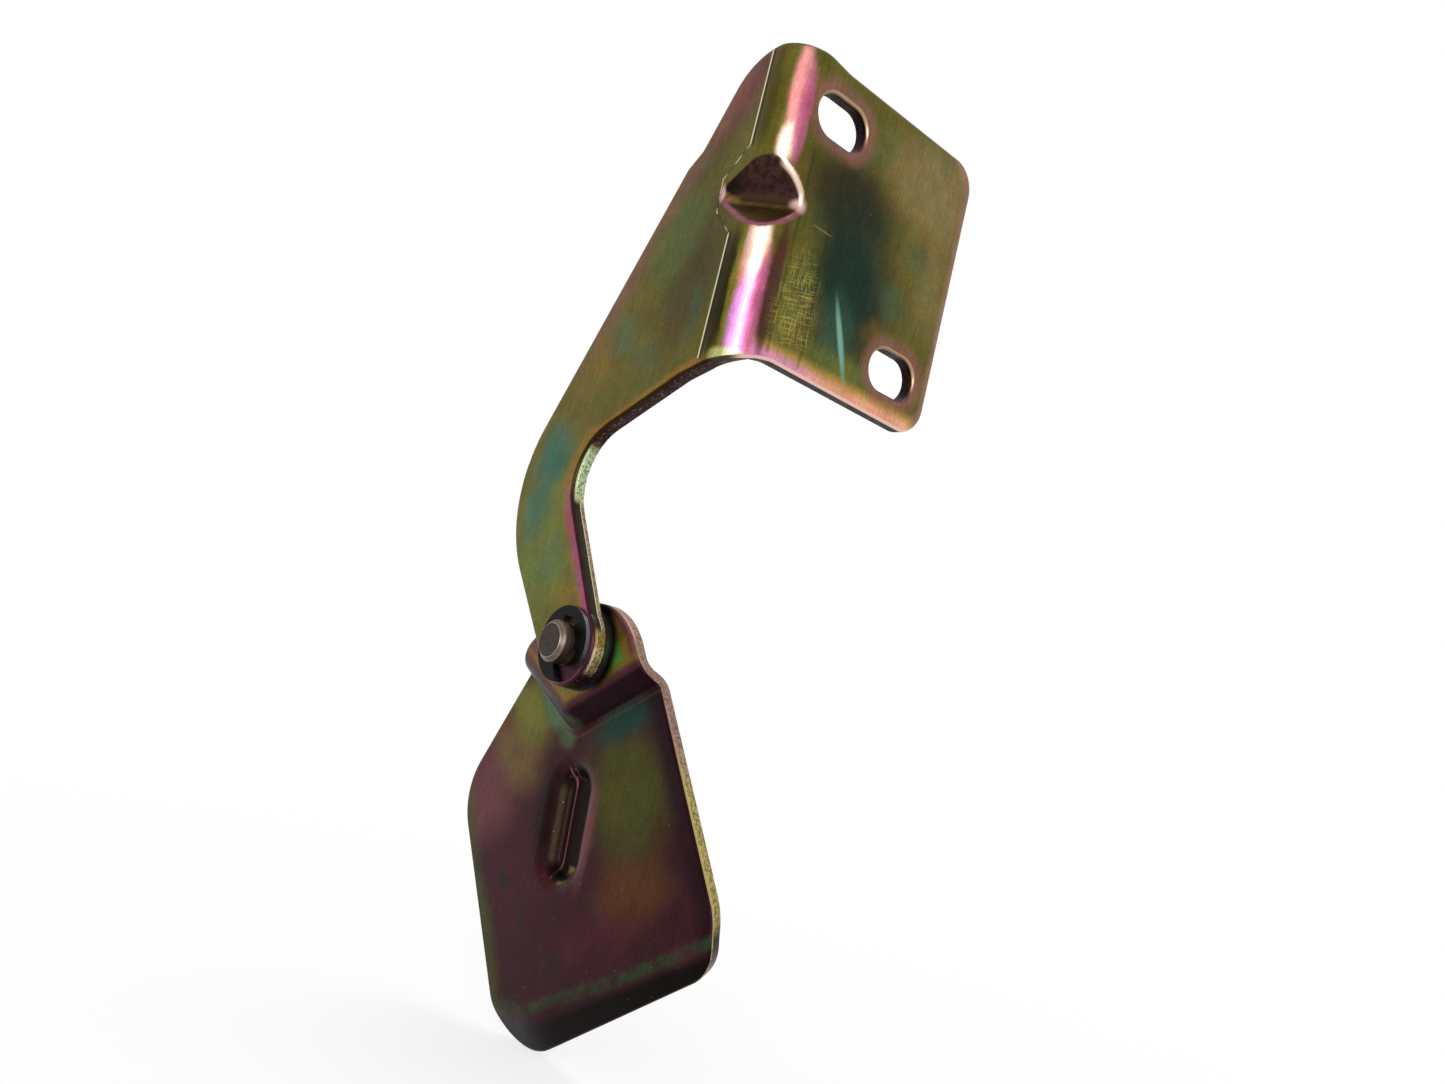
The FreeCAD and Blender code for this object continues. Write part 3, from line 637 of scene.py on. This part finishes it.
def sheared_edge(finish, place, depth_share, light, dark, shade_amount):
    """Colour of a cut edge, from the punch's side at 0 to the torn side at 1, and its grain. The shade
    amount moves it from the lit colour to the painted shade.
    """
    grains = finish.noise(place, 0.55, 4.0, 0.7, 5)
    torn = finish.fade(depth_share, SLICED_TO, TORN_FROM)
    grainy = finish.calc("MULTIPLY", finish.fade(grains, 0.56, 0.40), torn)
    lit_edge = finish.mix(finish.calc("MULTIPLY", grainy, 0.75), light, GRAIN_DARK)
    pink_grains = finish.calc("MULTIPLY", finish.fade(grains, 0.52, 0.66), 0.7)
    shaded_edge = finish.mix(pink_grains, dark, GRAIN_PINK)
    return finish.mix(shade_amount, lit_edge, shaded_edge), grains, torn


def arm_edge(finish, place, flat, depth, normal_z):
    share = finish.calc("DIVIDE", depth, SHEET)
    across = finish.split(flat)[0]
    cloud = finish.noise(place, 6.0, 2.0, 0.5, 8)
    # Painted light for cut edges that face up or out: cream and gold, browner along the flank, with a
    # painted mint highlight in the crook.
    light = finish.mix(finish.fade(cloud, 0.42, 0.58), CREAM, EDGE_GOLD)
    flank = finish.fade(stretch_distance(finish, flat, *FLANK_LINE), 4.2, 2.6)
    light = finish.mix(finish.calc("MULTIPLY", flank, 0.75), light, FLANK_BROWN)
    light = finish.mix(patch(finish, flat, *CROOK, 0.0, 0.5), light, CROOK_HIGHLIGHT_MINT)
    # Painted shade on cut edges that face down and on the flange's cut edges.
    faces_down_shade = finish.fade(normal_z, -0.42, -0.66)
    on_flange = finish.fade(across, 27.0, 29.0)
    edge, grains, torn = sheared_edge(
        finish, place, share, light, EDGE_SHADE, finish.calc("MAXIMUM", faces_down_shade, on_flange)
    )
    edge = finish.mix(finish.calc("MULTIPLY", on_flange, 0.8), edge, NEAR_BLACK)
    # Painted shade on the front of the neck's flank, and a painted highlight line behind it.
    front = finish.fade(share, 0.70, 0.64)
    front = finish.calc("MULTIPLY", finish.calc("MULTIPLY", flank, front), 0.95)
    edge = finish.mix(front, edge, FLANK_SHADE_GREEN)
    edge_highlight_line = finish.calc("MULTIPLY", finish.band(share, 0.67, 0.72, 0.02), flank)
    return finish.mix(edge_highlight_line, edge, HIGHLIGHT_LINE), grains, torn


print("cut edges are smooth for", round(SLICED_TO * SHEET, 2), "mm of", SHEET, "mm")

# %% [markdown]
# ## Put the arm's finish together
# The order follows the real surface: film colours first, then the thin film at the rims,
# then scratches and the die mark, and last the rolled and sheared edges over all of it.
# The press marked the outer skin alone, so the inner side keeps its plain film.

# %% The arm's finish
ARM_ROUGHNESS = (0.30, 0.40)
TORN_EXTRA = 0.2
TEAR_DEPTH_MM = 0.25
ROLL_HIGHLIGHT_PALE = colour(236, 196, 182)
ROLL_HIGHLIGHT_CREAM = colour(180, 150, 116)
ROLL_PLUM = colour(92, 62, 62)


def rolled_edge(finish, tone, rolled, flat, normal_z):
    """Rolled edges: painted shade, near black, on the web; on the flange mauve and plum, with a painted
    highlight, pale and cream, where the roll faces down, under the flange and in the tops of its slots.
    """
    across, up, _ = finish.split(flat)
    on_flange = finish.fade(across, 24.0, 27.0)
    flange_roll = finish.mix(finish.fade(normal_z, 0.05, 0.35), SIDE_MAUVE, ROLL_PLUM)
    down_roll_highlight = finish.mix(finish.fade(up, 60.0, 61.5), ROLL_HIGHLIGHT_PALE, ROLL_HIGHLIGHT_CREAM)
    flange_roll = finish.mix(finish.fade(normal_z, -0.04, -0.22), flange_roll, down_roll_highlight)
    roll_tone = finish.mix(on_flange, NEAR_BLACK, flange_roll)
    return finish.mix(finish.calc("MULTIPLY", rolled, 0.9), tone, roll_tone)


def arm_finish():
    finish = Finish("yellow_zinc_arm")
    place = place_from_pivot(finish)
    flat, depth, skin = on_the_blank(finish, place)
    normal = own_normal(finish)
    normal_z = finish.split(normal)[2]
    loose = wandering(finish, flat, 3.0, 9.0, 1)
    tone = painted(finish, OLIVE, loose, WEB_PATCHES + FLANGE_PATCHES)
    tone = arm_rims(finish, flat, loose, tone)
    tone = painted(finish, tone, wandering(finish, flat, 0.6, 4.0, 6), BEND_PATCHES, BEND_SOFT)
    tone, cloud, grain = weathered(finish, flat, place, tone, 3)
    outward = finish.vector("DOT_PRODUCT", normal, skin)
    marked, dart = dart_pocket(finish, place, flat, depth, normal_z, arm_marks(finish, flat, tone))
    tone = finish.mix(finish.fade(outward, -0.3, -0.1), tone, marked)

    facing = finish.calc("ABSOLUTE", outward)
    off_dart = finish.calc("SUBTRACT", 1.0, dart)
    rolled = finish.calc("MULTIPLY", finish.fade(facing, 0.98, 0.86), off_dart)
    tone = rolled_edge(finish, tone, rolled, flat, normal_z)
    cut = finish.calc("MULTIPLY", finish.fade(facing, 0.32, 0.16), off_dart)
    edge, grains, torn = arm_edge(finish, place, flat, depth, normal_z)
    tone = finish.mix(cut, tone, edge)
    finish.feed(tone, finish.shader.inputs["Base Color"])

    finish.shader.inputs["Metallic"].default_value = 1.0
    rough = finish.fade(cloud, 0.3, 0.7, *ARM_ROUGHNESS)
    rough = finish.calc("MULTIPLY_ADD", finish.calc("MULTIPLY", cut, torn), TORN_EXTRA, rough)
    finish.feed(rough, finish.shader.inputs["Roughness"])
    skin_bump = finish.bump(grain, 0.012)
    edge_height = finish.calc("MULTIPLY", finish.calc("MULTIPLY", cut, torn), grains)
    finish.feed(finish.bump(edge_height, TEAR_DEPTH_MM, skin_bump), finish.shader.inputs["Normal"])
    return finish.material


def dress(name, material):
    piece = nodes[name]
    piece.data.materials.clear()
    piece.data.materials.append(material)
    print(name, "wears", material.name)


dress("hood_arm", arm_finish())

# %% [markdown]
# ## The bracket's darker film
# The bracket's film is thicker than the arm's, so it is maroon and plum,
# with olive and teal only near the ear, and a green line along its left edge.

# %% The bracket's colours
MAROON = colour(55, 25, 31)
PLATE_PLUM = colour(98, 55, 62)
PLATE_BROWN = colour(104, 80, 48)
MOSS = colour(104, 100, 42)
SEA = colour(76, 102, 74)
DARK_OLIVE = colour(66, 66, 26)
DARK_SEA = colour(32, 56, 50)
RUSSET = colour(84, 50, 28)
WINE = colour(68, 27, 38)
EDGE_MOSS = colour(66, 72, 38)
NIGHT_PLUM = colour(33, 14, 21)
ROSE = colour(106, 62, 68)
STAIN = colour(34, 38, 22)
TOE_GLINT_GREEN = colour(50, 60, 42)
TOE_SHADE = colour(15, 11, 10)

BRACKET_PATCHES = (
    (PLATE_PLUM, 0.95, (-26.0, -32.0), (15.0, 15.0), 0.0),
    (WINE, 0.6, (-10.0, -44.0), (18.0, 12.0), -30.0),
    (PLATE_BROWN, 0.9, (-19.0, -22.0), (15.0, 9.0), -25.0),
    (MOSS, 1.0, (-18.0, -14.0), (13.0, 7.0), -28.0),
    (SEA, 0.9, (-10.0, -13.0), (9.0, 3.6), -26.0),
    (SEA, 0.5, (-3.5, -17.0), (4.0, 3.0), 0.0),
    (DARK_OLIVE, 1.0, (17.0, -23.0), (16.0, 18.0), 50.0),
    (DARK_SEA, 1.0, (12.0, -11.0), (13.0, 5.5), 31.0),
    (RUSSET, 0.9, (24.0, -39.0), (14.0, 10.0), 30.0),
    (WINE, 0.7, (16.0, -49.0), (22.0, 6.0), 28.0),
    (WINE, 0.9, (40.0, -44.0), (6.0, 3.5), 28.0),
)
STAIN_SPOTS = (((-9.0, -50.0), (9.0, 7.0)), ((7.0, -55.0), (6.0, 3.5)), ((-14.0, -46.0), (5.0, 4.0)))
EAR_CENTRE = (1.0, -7.0)
EAR_R = 16.0
PLATE_FRONT = 8.5
EAR_FRONT = 4.5
PLATE_T = 2.5
LEFT_EDGE = ((-33.5, -36.0), (-5.0, -72.0))
RIGHT_EDGE = ((13.6, 2.8), (49.3, -43.1))
RIDGE = ((-19.0, -5.2), (-2.1, -13.3), (18.0, -1.1))
TOE_RIDGE = ((-4.0, -66.6), (3.0, -65.5), (26.0, -52.8), (46.0, -40.4))


def plate_film(finish, flat, loose):
    tone = painted(finish, MAROON, loose, BRACKET_PATCHES)
    left = line_distance(finish, loose, LEFT_EDGE)
    tone = finish.mix(finish.fade(left, 6.0, 1.0, 0.0, 0.85), tone, EDGE_MOSS)
    right = line_distance(finish, flat, RIGHT_EDGE)
    tone = finish.mix(finish.fade(right, 5.5, 1.5, 0.0, 0.8), tone, NIGHT_PLUM)
    blots = finish.fade(finish.noise(flat, 3.2, 4.0, 0.6, 15), 0.52, 0.60)
    for centre, radii in STAIN_SPOTS:
        spot = finish.calc("MULTIPLY", patch(finish, flat, centre, radii), blots)
        tone = finish.mix(finish.calc("MULTIPLY", spot, 0.75), tone, STAIN)
    return tone


print(len(BRACKET_PATCHES), "patches on the bracket and", len(STAIN_SPOTS), "stained spots")

# %% [markdown]
# ## The bead, the toe and the ear
# The bead's walls and left rim get painted shade, with a thin painted highlight line on the left wall, a
# painted gold glint at its lower end and painted pink glints at its top; its right rim has a mauve film.
# The toe turns away and gets painted shade, nearly black, with painted green glints along its fold. Round
# the washer the ear gets a black painted shadow, with a brown painted shadow on its top, then goes green,
# gold and plum towards its rim.

# %% Parts of the bracket
BEAD_TOP = (1.0, -26.2)
BEAD_LOW = (2.2, -37.8)
BEAD_SHADE = colour(32, 20, 19)
BEAD_SHADE_OLIVE = colour(36, 28, 20)
BEAD_HIGHLIGHT_PINK = colour(136, 80, 84)
BEAD_GLINT_GOLD = colour(182, 150, 84)
BEAD_LEAN_DEG = 6.0
BEAD_RIMS = ((BEAD_SHADE, 0.85, -6.5, (4.5, 13.0)), (ROSE, 0.9, 6.8, (3.0, 13.5)))
EAR_OLIVE = colour(106, 98, 38)
EAR_GREEN = colour(80, 144, 66)
EAR_ORANGE = colour(128, 98, 40)
EAR_PLUM = colour(72, 34, 46)
EAR_TOP_SHADOW = colour(84, 58, 40)
NOSE_GREEN = colour(56, 56, 36)
RIM_ORANGE_BAND = (4.2, 2.6)
RIM_ROSE_BAND = (2.3, 0.9)
RIDGE_ORANGE_BAND = (4.2, 3.0)
RIDGE_PLUM_BAND = (3.2, 1.6)
EAR_WASHER_SHADOW = (10.0, 8.2)


def bead_film(finish, flat, y, tone):
    x, z, _ = finish.split(flat)
    lean = (BEAD_LOW[0] - BEAD_TOP[0]) / (BEAD_TOP[1] - BEAD_LOW[1])
    axis_x = finish.calc("MULTIPLY_ADD", z, -lean, BEAD_TOP[0] + lean * BEAD_TOP[1])
    off_axis = finish.calc("SUBTRACT", x, axis_x)
    middle = ((BEAD_TOP[0] + BEAD_LOW[0]) / 2, (BEAD_TOP[1] + BEAD_LOW[1]) / 2)
    near = patch(finish, flat, middle, (12.0, 15.0), 0.0, 0.2)
    # Painted shade on the bead's left rim, and a mauve film on its right rim.
    for film, strength, aside, radii in BEAD_RIMS:
        rim = patch(finish, flat, (middle[0] + aside, middle[1]), radii, BEAD_LEAN_DEG)
        tone = finish.mix(finish.calc("MULTIPLY", rim, strength), tone, film)
    sunk = finish.calc("MULTIPLY", finish.fade(y, PLATE_FRONT + 0.5, PLATE_FRONT + 1.1), near)
    # Painted shade on the bead's walls, with a thin painted highlight line on the left wall.
    wall = finish.mix(finish.band(off_axis, -4.6, -3.8, 0.3), BEAD_SHADE, BEAD_SHADE_OLIVE)
    wall = finish.mix(finish.band(off_axis, -2.45, -2.1, 0.15), wall, BEAD_HIGHLIGHT_PINK)
    # A painted gold glint at the bead's lower end.
    low_end = finish.calc("MULTIPLY", finish.fade(z, -39.0, -40.2), finish.fade(off_axis, -0.8, 0.6))
    wall = finish.mix(low_end, wall, BEAD_GLINT_GOLD)
    # Painted pink glints at the bead's top end.
    top_glints = finish.fade(finish.noise(flat, 0.9, 3.0, 0.6, 17), 0.56, 0.66)
    top_glints = finish.calc("MULTIPLY", top_glints, finish.fade(z, -24.6, -23.8))
    wall = finish.mix(finish.calc("MULTIPLY", top_glints, 0.8), wall, BEAD_HIGHLIGHT_PINK)
    return finish.mix(sunk, tone, wall)


def toe_film(finish, flat, y, tone):
    z = finish.split(flat)[1]
    ridge = line_distance(finish, flat, TOE_RIDGE)
    # Painted green glints along the toe's fold.
    glints = finish.fade(finish.noise(flat, 3.0, 4.0, 0.6, 18), 0.2, 0.7)
    tone = finish.mix(finish.calc("MULTIPLY", finish.fade(ridge, 1.7, 0.3), glints), tone, TOE_GLINT_GREEN)
    # Painted shade, nearly black, on the lower toe that turns away.
    turned_back = finish.fade(y, PLATE_FRONT + 0.4, PLATE_FRONT + 1.4)
    lower = finish.calc("MULTIPLY", turned_back, finish.fade(z, -38.0, -42.0))
    return finish.mix(finish.calc("MULTIPLY", lower, 0.95), tone, TOE_SHADE)


def ear_film(finish, flat, ridge):
    green = patch(finish, flat, (10.4, 1.0), (8.0, 9.5), 0.0, 0.6)
    tone = finish.mix(green, EAR_OLIVE, EAR_GREEN)
    from_centre = finish.vector("SUBTRACT", flat, (*EAR_CENTRE, 0.0))
    from_rim = finish.calc("SUBTRACT", EAR_R, finish.vector("LENGTH", from_centre))
    right = line_distance(finish, flat, RIGHT_EDGE)
    from_rim = finish.calc("MINIMUM", from_rim, right)
    tone = finish.mix(finish.fade(from_rim, *RIM_ORANGE_BAND, 0.0, 0.85), tone, EAR_ORANGE)
    tone = finish.mix(finish.fade(from_rim, *RIM_ROSE_BAND, 0.0, 0.9), tone, ROSE)
    tone = finish.mix(finish.fade(ridge, *RIDGE_ORANGE_BAND, 0.0, 0.7), tone, EAR_ORANGE)
    tone = finish.mix(finish.fade(ridge, *RIDGE_PLUM_BAND, 0.0, 0.95), tone, EAR_PLUM)
    # A brown painted shadow on the ear's top, under the arm.
    tone = finish.mix(patch(finish, flat, (4.0, 8.4), (6.0, 2.6)), tone, EAR_TOP_SHADOW)
    # Painted shadow, black, on the ear to the right of the washer.
    from_pin = finish.vector("LENGTH", flat)
    right_of_pin = finish.fade(finish.vector("DOT_PRODUCT", flat, (0.8, 0.2, 0.0)), 0.5, 4.5)
    washer_shadow = finish.calc("MULTIPLY", finish.fade(from_pin, *EAR_WASHER_SHADOW), right_of_pin)
    return finish.mix(washer_shadow, tone, NEAR_BLACK)


bead_mm = math.dist(BEAD_TOP, BEAD_LOW)
print("the bead's axis is", round(bead_mm, 1), "mm long")

# %% [markdown]
# ## Put the bracket's finish together
# Depth along the pivot tells the ear from the ramp and the ramp from the plate.
# The rear has the plate's plain film all over.

# %% The bracket's finish
EDGE_STRAW = colour(168, 154, 94)
BRACKET_ROUGHNESS = (0.32, 0.44)
BRACKET_TORN_EXTRA = 0.18


def bracket_finish():
    finish = Finish("yellow_zinc_bracket")
    place = place_from_pivot(finish)
    x, y, z = finish.split(place)
    flat = finish.joined(x, z)
    loose = wandering(finish, flat, 2.5, 9.0, 11)
    ridge = line_distance(finish, flat, RIDGE)
    film = plate_film(finish, flat, loose)
    foot_line = finish.calc("MULTIPLY", finish.band(ridge, 3.1, 3.5, 0.4), 0.25)
    tone = finish.mix(foot_line, film, MOSS)
    tone = bead_film(finish, flat, y, tone)
    tone = toe_film(finish, flat, y, tone)

    on_ear = finish.fade(y, EAR_FRONT + 0.7, EAR_FRONT + 0.2)
    above_plate = finish.fade(y, PLATE_FRONT - 0.1, PLATE_FRONT - 0.7)
    # The ramp gets painted shade, near black, with a green patch at its nose.
    ramp_shade = finish.mix(patch(finish, flat, (-1.0, -14.0), (3.2, 2.0)), NIGHT_PLUM, NOSE_GREEN)
    tone = finish.mix(finish.calc("MULTIPLY", above_plate, 0.95), tone, ramp_shade)
    tone = finish.mix(on_ear, tone, ear_film(finish, flat, ridge))
    normal_y = finish.split(own_normal(finish))[1]
    tone = finish.mix(finish.fade(normal_y, 0.3, 0.1), film, tone)
    tone, cloud, grain = weathered(finish, flat, place, tone, 13)

    facing = finish.calc("ABSOLUTE", normal_y)
    cut = finish.fade(facing, 0.30, 0.15)
    depth = finish.calc("SUBTRACT", y, finish.fade(z, -1.0, -7.0, EAR_FRONT, PLATE_FRONT))
    light = finish.mix(finish.fade(z, -10.0, -22.0), EDGE_PINK, EDGE_STRAW)
    # Painted shade on the bracket's lowest cut edges.
    low_edge_shade = finish.fade(z, -52.0, -60.0)
    edge, grains, torn = sheared_edge(
        finish, place, finish.calc("DIVIDE", depth, PLATE_T), light, EDGE_SHADE, low_edge_shade
    )
    tone = finish.mix(cut, tone, edge)
    finish.feed(tone, finish.shader.inputs["Base Color"])

    finish.shader.inputs["Metallic"].default_value = 1.0
    rough = finish.fade(cloud, 0.3, 0.7, *BRACKET_ROUGHNESS)
    rough = finish.calc("MULTIPLY_ADD", finish.calc("MULTIPLY", cut, torn), BRACKET_TORN_EXTRA, rough)
    finish.feed(rough, finish.shader.inputs["Roughness"])
    skin_bump = finish.bump(grain, 0.02)
    edge_height = finish.calc("MULTIPLY", finish.calc("MULTIPLY", cut, torn), grains)
    finish.feed(finish.bump(edge_height, TEAR_DEPTH_MM, skin_bump), finish.shader.inputs["Normal"])
    return finish.material


dress("body_bracket", bracket_finish())

# %% [markdown]
# ## The pin
# The pin is turned from bare steel: rings from the lathe run round its end and its shank.
# Noise over the distance from the axis and the place along it makes such rings without a seam.

# %% Turned steel
PIN_STEEL = colour(106, 94, 85)
PIN_END = colour(54, 46, 41)
PIN_RIM_HIGHLIGHT = colour(158, 140, 126)
PIN_STAIN = colour(98, 84, 74)
PIN_NOSE = -3.85
PIN_RIM_R = 3.2


def pin_finish():
    finish = Finish("turned_steel")
    place = place_from_pivot(finish)
    x, y, z = finish.split(place)
    radius = finish.vector("LENGTH", finish.joined(x, z))
    rings = finish.noise(finish.joined(radius, y), 0.3, 2.0, 0.5, 21)
    cloud = finish.noise(place, 1.8, 4.0, 0.65, 22)
    tone = finish.mix(finish.fade(cloud, 0.42, 0.6), PIN_STEEL, PIN_STAIN)
    on_end = finish.fade(y, PIN_NOSE + 0.25, PIN_NOSE + 0.05)
    tone = finish.mix(finish.calc("MULTIPLY", on_end, 0.85), tone, PIN_END)
    # A painted highlight on the rim of the pin's end.
    rim = finish.calc("MULTIPLY", finish.band(radius, PIN_RIM_R - 0.08, PIN_RIM_R + 0.1, 0.05), on_end)
    tone = finish.mix(finish.calc("MULTIPLY", rim, 0.8), tone, PIN_RIM_HIGHLIGHT)
    tone = finish.scaled(tone, finish.fade(rings, 0.3, 0.7, 0.7, 1.3))
    finish.feed(tone, finish.shader.inputs["Base Color"])
    finish.shader.inputs["Metallic"].default_value = 1.0
    finish.feed(finish.fade(cloud, 0.3, 0.7, 0.34, 0.5), finish.shader.inputs["Roughness"])
    finish.feed(finish.bump(rings, 0.03), finish.shader.inputs["Normal"])
    return finish.material


dress("pivot_pin", pin_finish())

# %% [markdown]
# ## The clip
# The clip is black spring steel, worn a little where it was squeezed on.
# Its blanked edge gets a grey painted highlight. The normal tells the two apart: on the faces it lies
# along the pin.

# %% Blackened spring steel
CLIP_BLACK = colour(13, 13, 14)
CLIP_WORN = colour(32, 31, 31)
CLIP_EDGE_HIGHLIGHT = colour(112, 114, 120)


def clip_finish():
    finish = Finish("black_spring_steel")
    place = place_from_pivot(finish)
    facing = finish.calc("ABSOLUTE", finish.split(own_normal(finish))[1])
    cloud = finish.noise(place, 1.4, 4.0, 0.6, 31)
    tone = finish.mix(finish.fade(cloud, 0.35, 0.7, 0.0, 0.4), CLIP_BLACK, CLIP_WORN)
    # A grey painted highlight on the clip's blanked edge.
    tone = finish.mix(finish.fade(facing, 0.4, 0.2, 0.0, 0.75), tone, CLIP_EDGE_HIGHLIGHT)
    finish.feed(tone, finish.shader.inputs["Base Color"])
    finish.shader.inputs["Metallic"].default_value = 1.0
    finish.feed(finish.fade(cloud, 0.3, 0.7, 0.3, 0.45), finish.shader.inputs["Roughness"])
    finish.feed(finish.bump(cloud, 0.02), finish.shader.inputs["Normal"])
    return finish.material


dress("retaining_clip", clip_finish())

# %% [markdown]
# ## The washer
# The washer is smooth and black, with a slight blue sheen. It isn't metal,
# so it is the one piece here that takes its brightness from gloss alone.

# %% Smooth black washer
WASHER_BLACK = colour(12, 13, 15)
WASHER_BLUISH = colour(20, 21, 25)


def washer_finish():
    finish = Finish("smooth_black_washer")
    place = place_from_pivot(finish)
    cloud = finish.noise(place, 2.5, 2.0, 0.5, 41)
    tone = finish.mix(finish.fade(cloud, 0.35, 0.65), WASHER_BLACK, WASHER_BLUISH)
    finish.feed(tone, finish.shader.inputs["Base Color"])
    finish.feed(finish.fade(cloud, 0.3, 0.7, 0.16, 0.24), finish.shader.inputs["Roughness"])
    return finish.material


dress("spacer_washer", washer_finish())

# %% [markdown]
# ## White floor, white room
# A product on plain white needs a floor that takes a soft shadow and still reads as white.
# Light Path tells which rays come from the lens or off a mirror, and those see pure white.

# %% Floor and room
FLOOR_HALF = 3.0
FLOOR_GAP = 0.0004
SHADOW_REACH = 0.32
WHITE_UNDER_HINGE = 0.72
PAPER = (0.86, 0.86, 0.86, 1.0)
PAPER_ROUGHNESS = 0.9
WHITE = (1.0, 1.0, 1.0, 1.0)
ROOM_STRENGTH = 0.7


def white_unless_lit(tree, lit, share):
    """Adds white for camera, glossy and transmission rays, in this share."""
    path = tree.nodes.new("ShaderNodeLightPath")
    seen = tree.nodes.new("ShaderNodeMath")
    seen.operation = "MAXIMUM"
    tree.links.new(path.outputs["Is Camera Ray"], seen.inputs[0])
    tree.links.new(path.outputs["Is Glossy Ray"], seen.inputs[1])
    both = tree.nodes.new("ShaderNodeMath")
    both.operation = "MAXIMUM"
    tree.links.new(seen.outputs[0], both.inputs[0])
    tree.links.new(path.outputs["Is Transmission Ray"], both.inputs[1])
    part = tree.nodes.new("ShaderNodeMath")
    part.operation = "MULTIPLY"
    tree.links.new(share, part.inputs[1])
    tree.links.new(both.outputs[0], part.inputs[0])
    mixed = tree.nodes.new("ShaderNodeMixShader")
    tree.links.new(part.outputs[0], mixed.inputs[0])
    tree.links.new(lit, mixed.inputs[1])
    return mixed


def pale_floor():
    low = cad_box[0][2] - FLOOR_GAP
    bpy.ops.mesh.primitive_plane_add(size=2 * FLOOR_HALF, location=(0, 0, low))
    floor = bpy.context.object
    floor.name = "floor"
    paper = bpy.data.materials.new("white_paper")
    paper.use_nodes = True
    tree = paper.node_tree
    shader = tree.nodes["Principled BSDF"]
    shader.inputs["Base Color"].default_value = PAPER
    shader.inputs["Roughness"].default_value = PAPER_ROUGHNESS
    glow = tree.nodes.new("ShaderNodeEmission")
    spot = tree.nodes.new("ShaderNodeTexCoord")
    away = tree.nodes.new("ShaderNodeVectorMath")
    away.operation = "LENGTH"
    tree.links.new(spot.outputs["Object"], away.inputs[0])
    share = tree.nodes.new("ShaderNodeMapRange")
    share.interpolation_type = "SMOOTHSTEP"
    share.inputs["From Max"].default_value = SHADOW_REACH
    share.inputs["To Min"].default_value = WHITE_UNDER_HINGE
    tree.links.new(away.outputs["Value"], share.inputs["Value"])
    mixed = white_unless_lit(tree, shader.outputs[0], share.outputs[0])
    tree.links.new(glow.outputs[0], mixed.inputs[2])
    tree.links.new(mixed.outputs[0], tree.nodes["Material Output"].inputs[0])
    floor.data.materials.append(paper)


def white_room(strength):
    world = bpy.data.worlds.new("white_room")
    world.use_nodes = True
    bpy.context.scene.world = world
    tree = world.node_tree
    soft = tree.nodes["Background"]
    soft.inputs[0].default_value = WHITE
    soft.inputs[1].default_value = strength
    white = tree.nodes.new("ShaderNodeBackground")
    white.inputs[0].default_value = WHITE
    always = tree.nodes.new("ShaderNodeValue")
    always.outputs[0].default_value = 1.0
    mixed = white_unless_lit(tree, soft.outputs[0], always.outputs[0])
    tree.links.new(white.outputs[0], mixed.inputs[2])
    tree.links.new(mixed.outputs[0], tree.nodes["World Output"].inputs[0])


pale_floor()
white_room(ROOM_STRENGTH)
print("floor at", round(cad_box[0][2] - FLOOR_GAP, 4), "m")

# %% [markdown]
# ## Camera
# The view is from close by, a little below the pivot and looking up, with the camera leaning
# to one side. Its place and its directions were worked out from the hinge itself:
# its square flange, its straight bend and its round pin.

# %% Camera
LENS_MM = 30.39
SENSOR_MM = 36.0
NEAR_CLIP = 0.005
LENS_FROM_PIVOT = Vector((0.18544, -0.13197, -0.00525))
RIGHTWARD = Vector((0.66664, 0.70878, 0.23072))
UPWARD = Vector((-0.05662, -0.26049, 0.96381))


def camera_at_the_pictures_view():
    lens = bpy.data.cameras.new("camera")
    lens.lens = LENS_MM
    lens.sensor_width = SENSOR_MM
    lens.sensor_fit = "HORIZONTAL"
    lens.clip_start = NEAR_CLIP
    camera = bpy.data.objects.new("camera", lens)
    bpy.context.scene.collection.objects.link(camera)
    right = RIGHTWARD.normalized()
    back = right.cross(UPWARD).normalized()
    up = back.cross(right)
    turned = Matrix((right, up, back)).transposed().to_4x4()
    camera.matrix_world = Matrix.Translation(pivot + LENS_FROM_PIVOT) @ turned
    bpy.context.scene.camera = camera


camera_at_the_pictures_view()
print("camera", round(LENS_FROM_PIVOT.length, 3), "m from the pivot")

# %% [markdown]
# ## Softboxes
# A mirror-like part is lit by what it reflects. A box near the lens makes the bright stripe
# down the bend, and a box above gives the floor its soft shadow.

# %% Softboxes
def softbox(name, direction, distance, size, watts):
    """A soft lamp that hangs off the hinge in this direction and faces its middle."""
    lamp = bpy.data.lights.new(name, "AREA")
    lamp.shape = "RECTANGLE"
    lamp.size, lamp.size_y = size
    lamp.energy = watts
    box = bpy.data.objects.new(name, lamp)
    bpy.context.scene.collection.objects.link(box)
    middle = (Vector(cad_box[0]) + Vector(cad_box[1])) / 2
    way = Vector(direction).normalized()
    box.location = middle + way * distance
    box.rotation_euler = way.to_track_quat("Z", "Y").to_euler()
    box.visible_camera = False
    print(name, watts, "watts at", distance, "m")


softbox("box_over_lens", (0.70, -0.69, 0.14), 0.55, (0.24, 0.42), 2.0)
softbox("box_above", (-0.1, 0.2, 1.0), 0.9, (0.5, 0.5), 3.0)

# %% [markdown]
# ## The colour view
# The Standard view shows each colour as it was mixed.

# %% Finish
scene = bpy.context.scene
scene.view_settings.view_transform = "Standard"
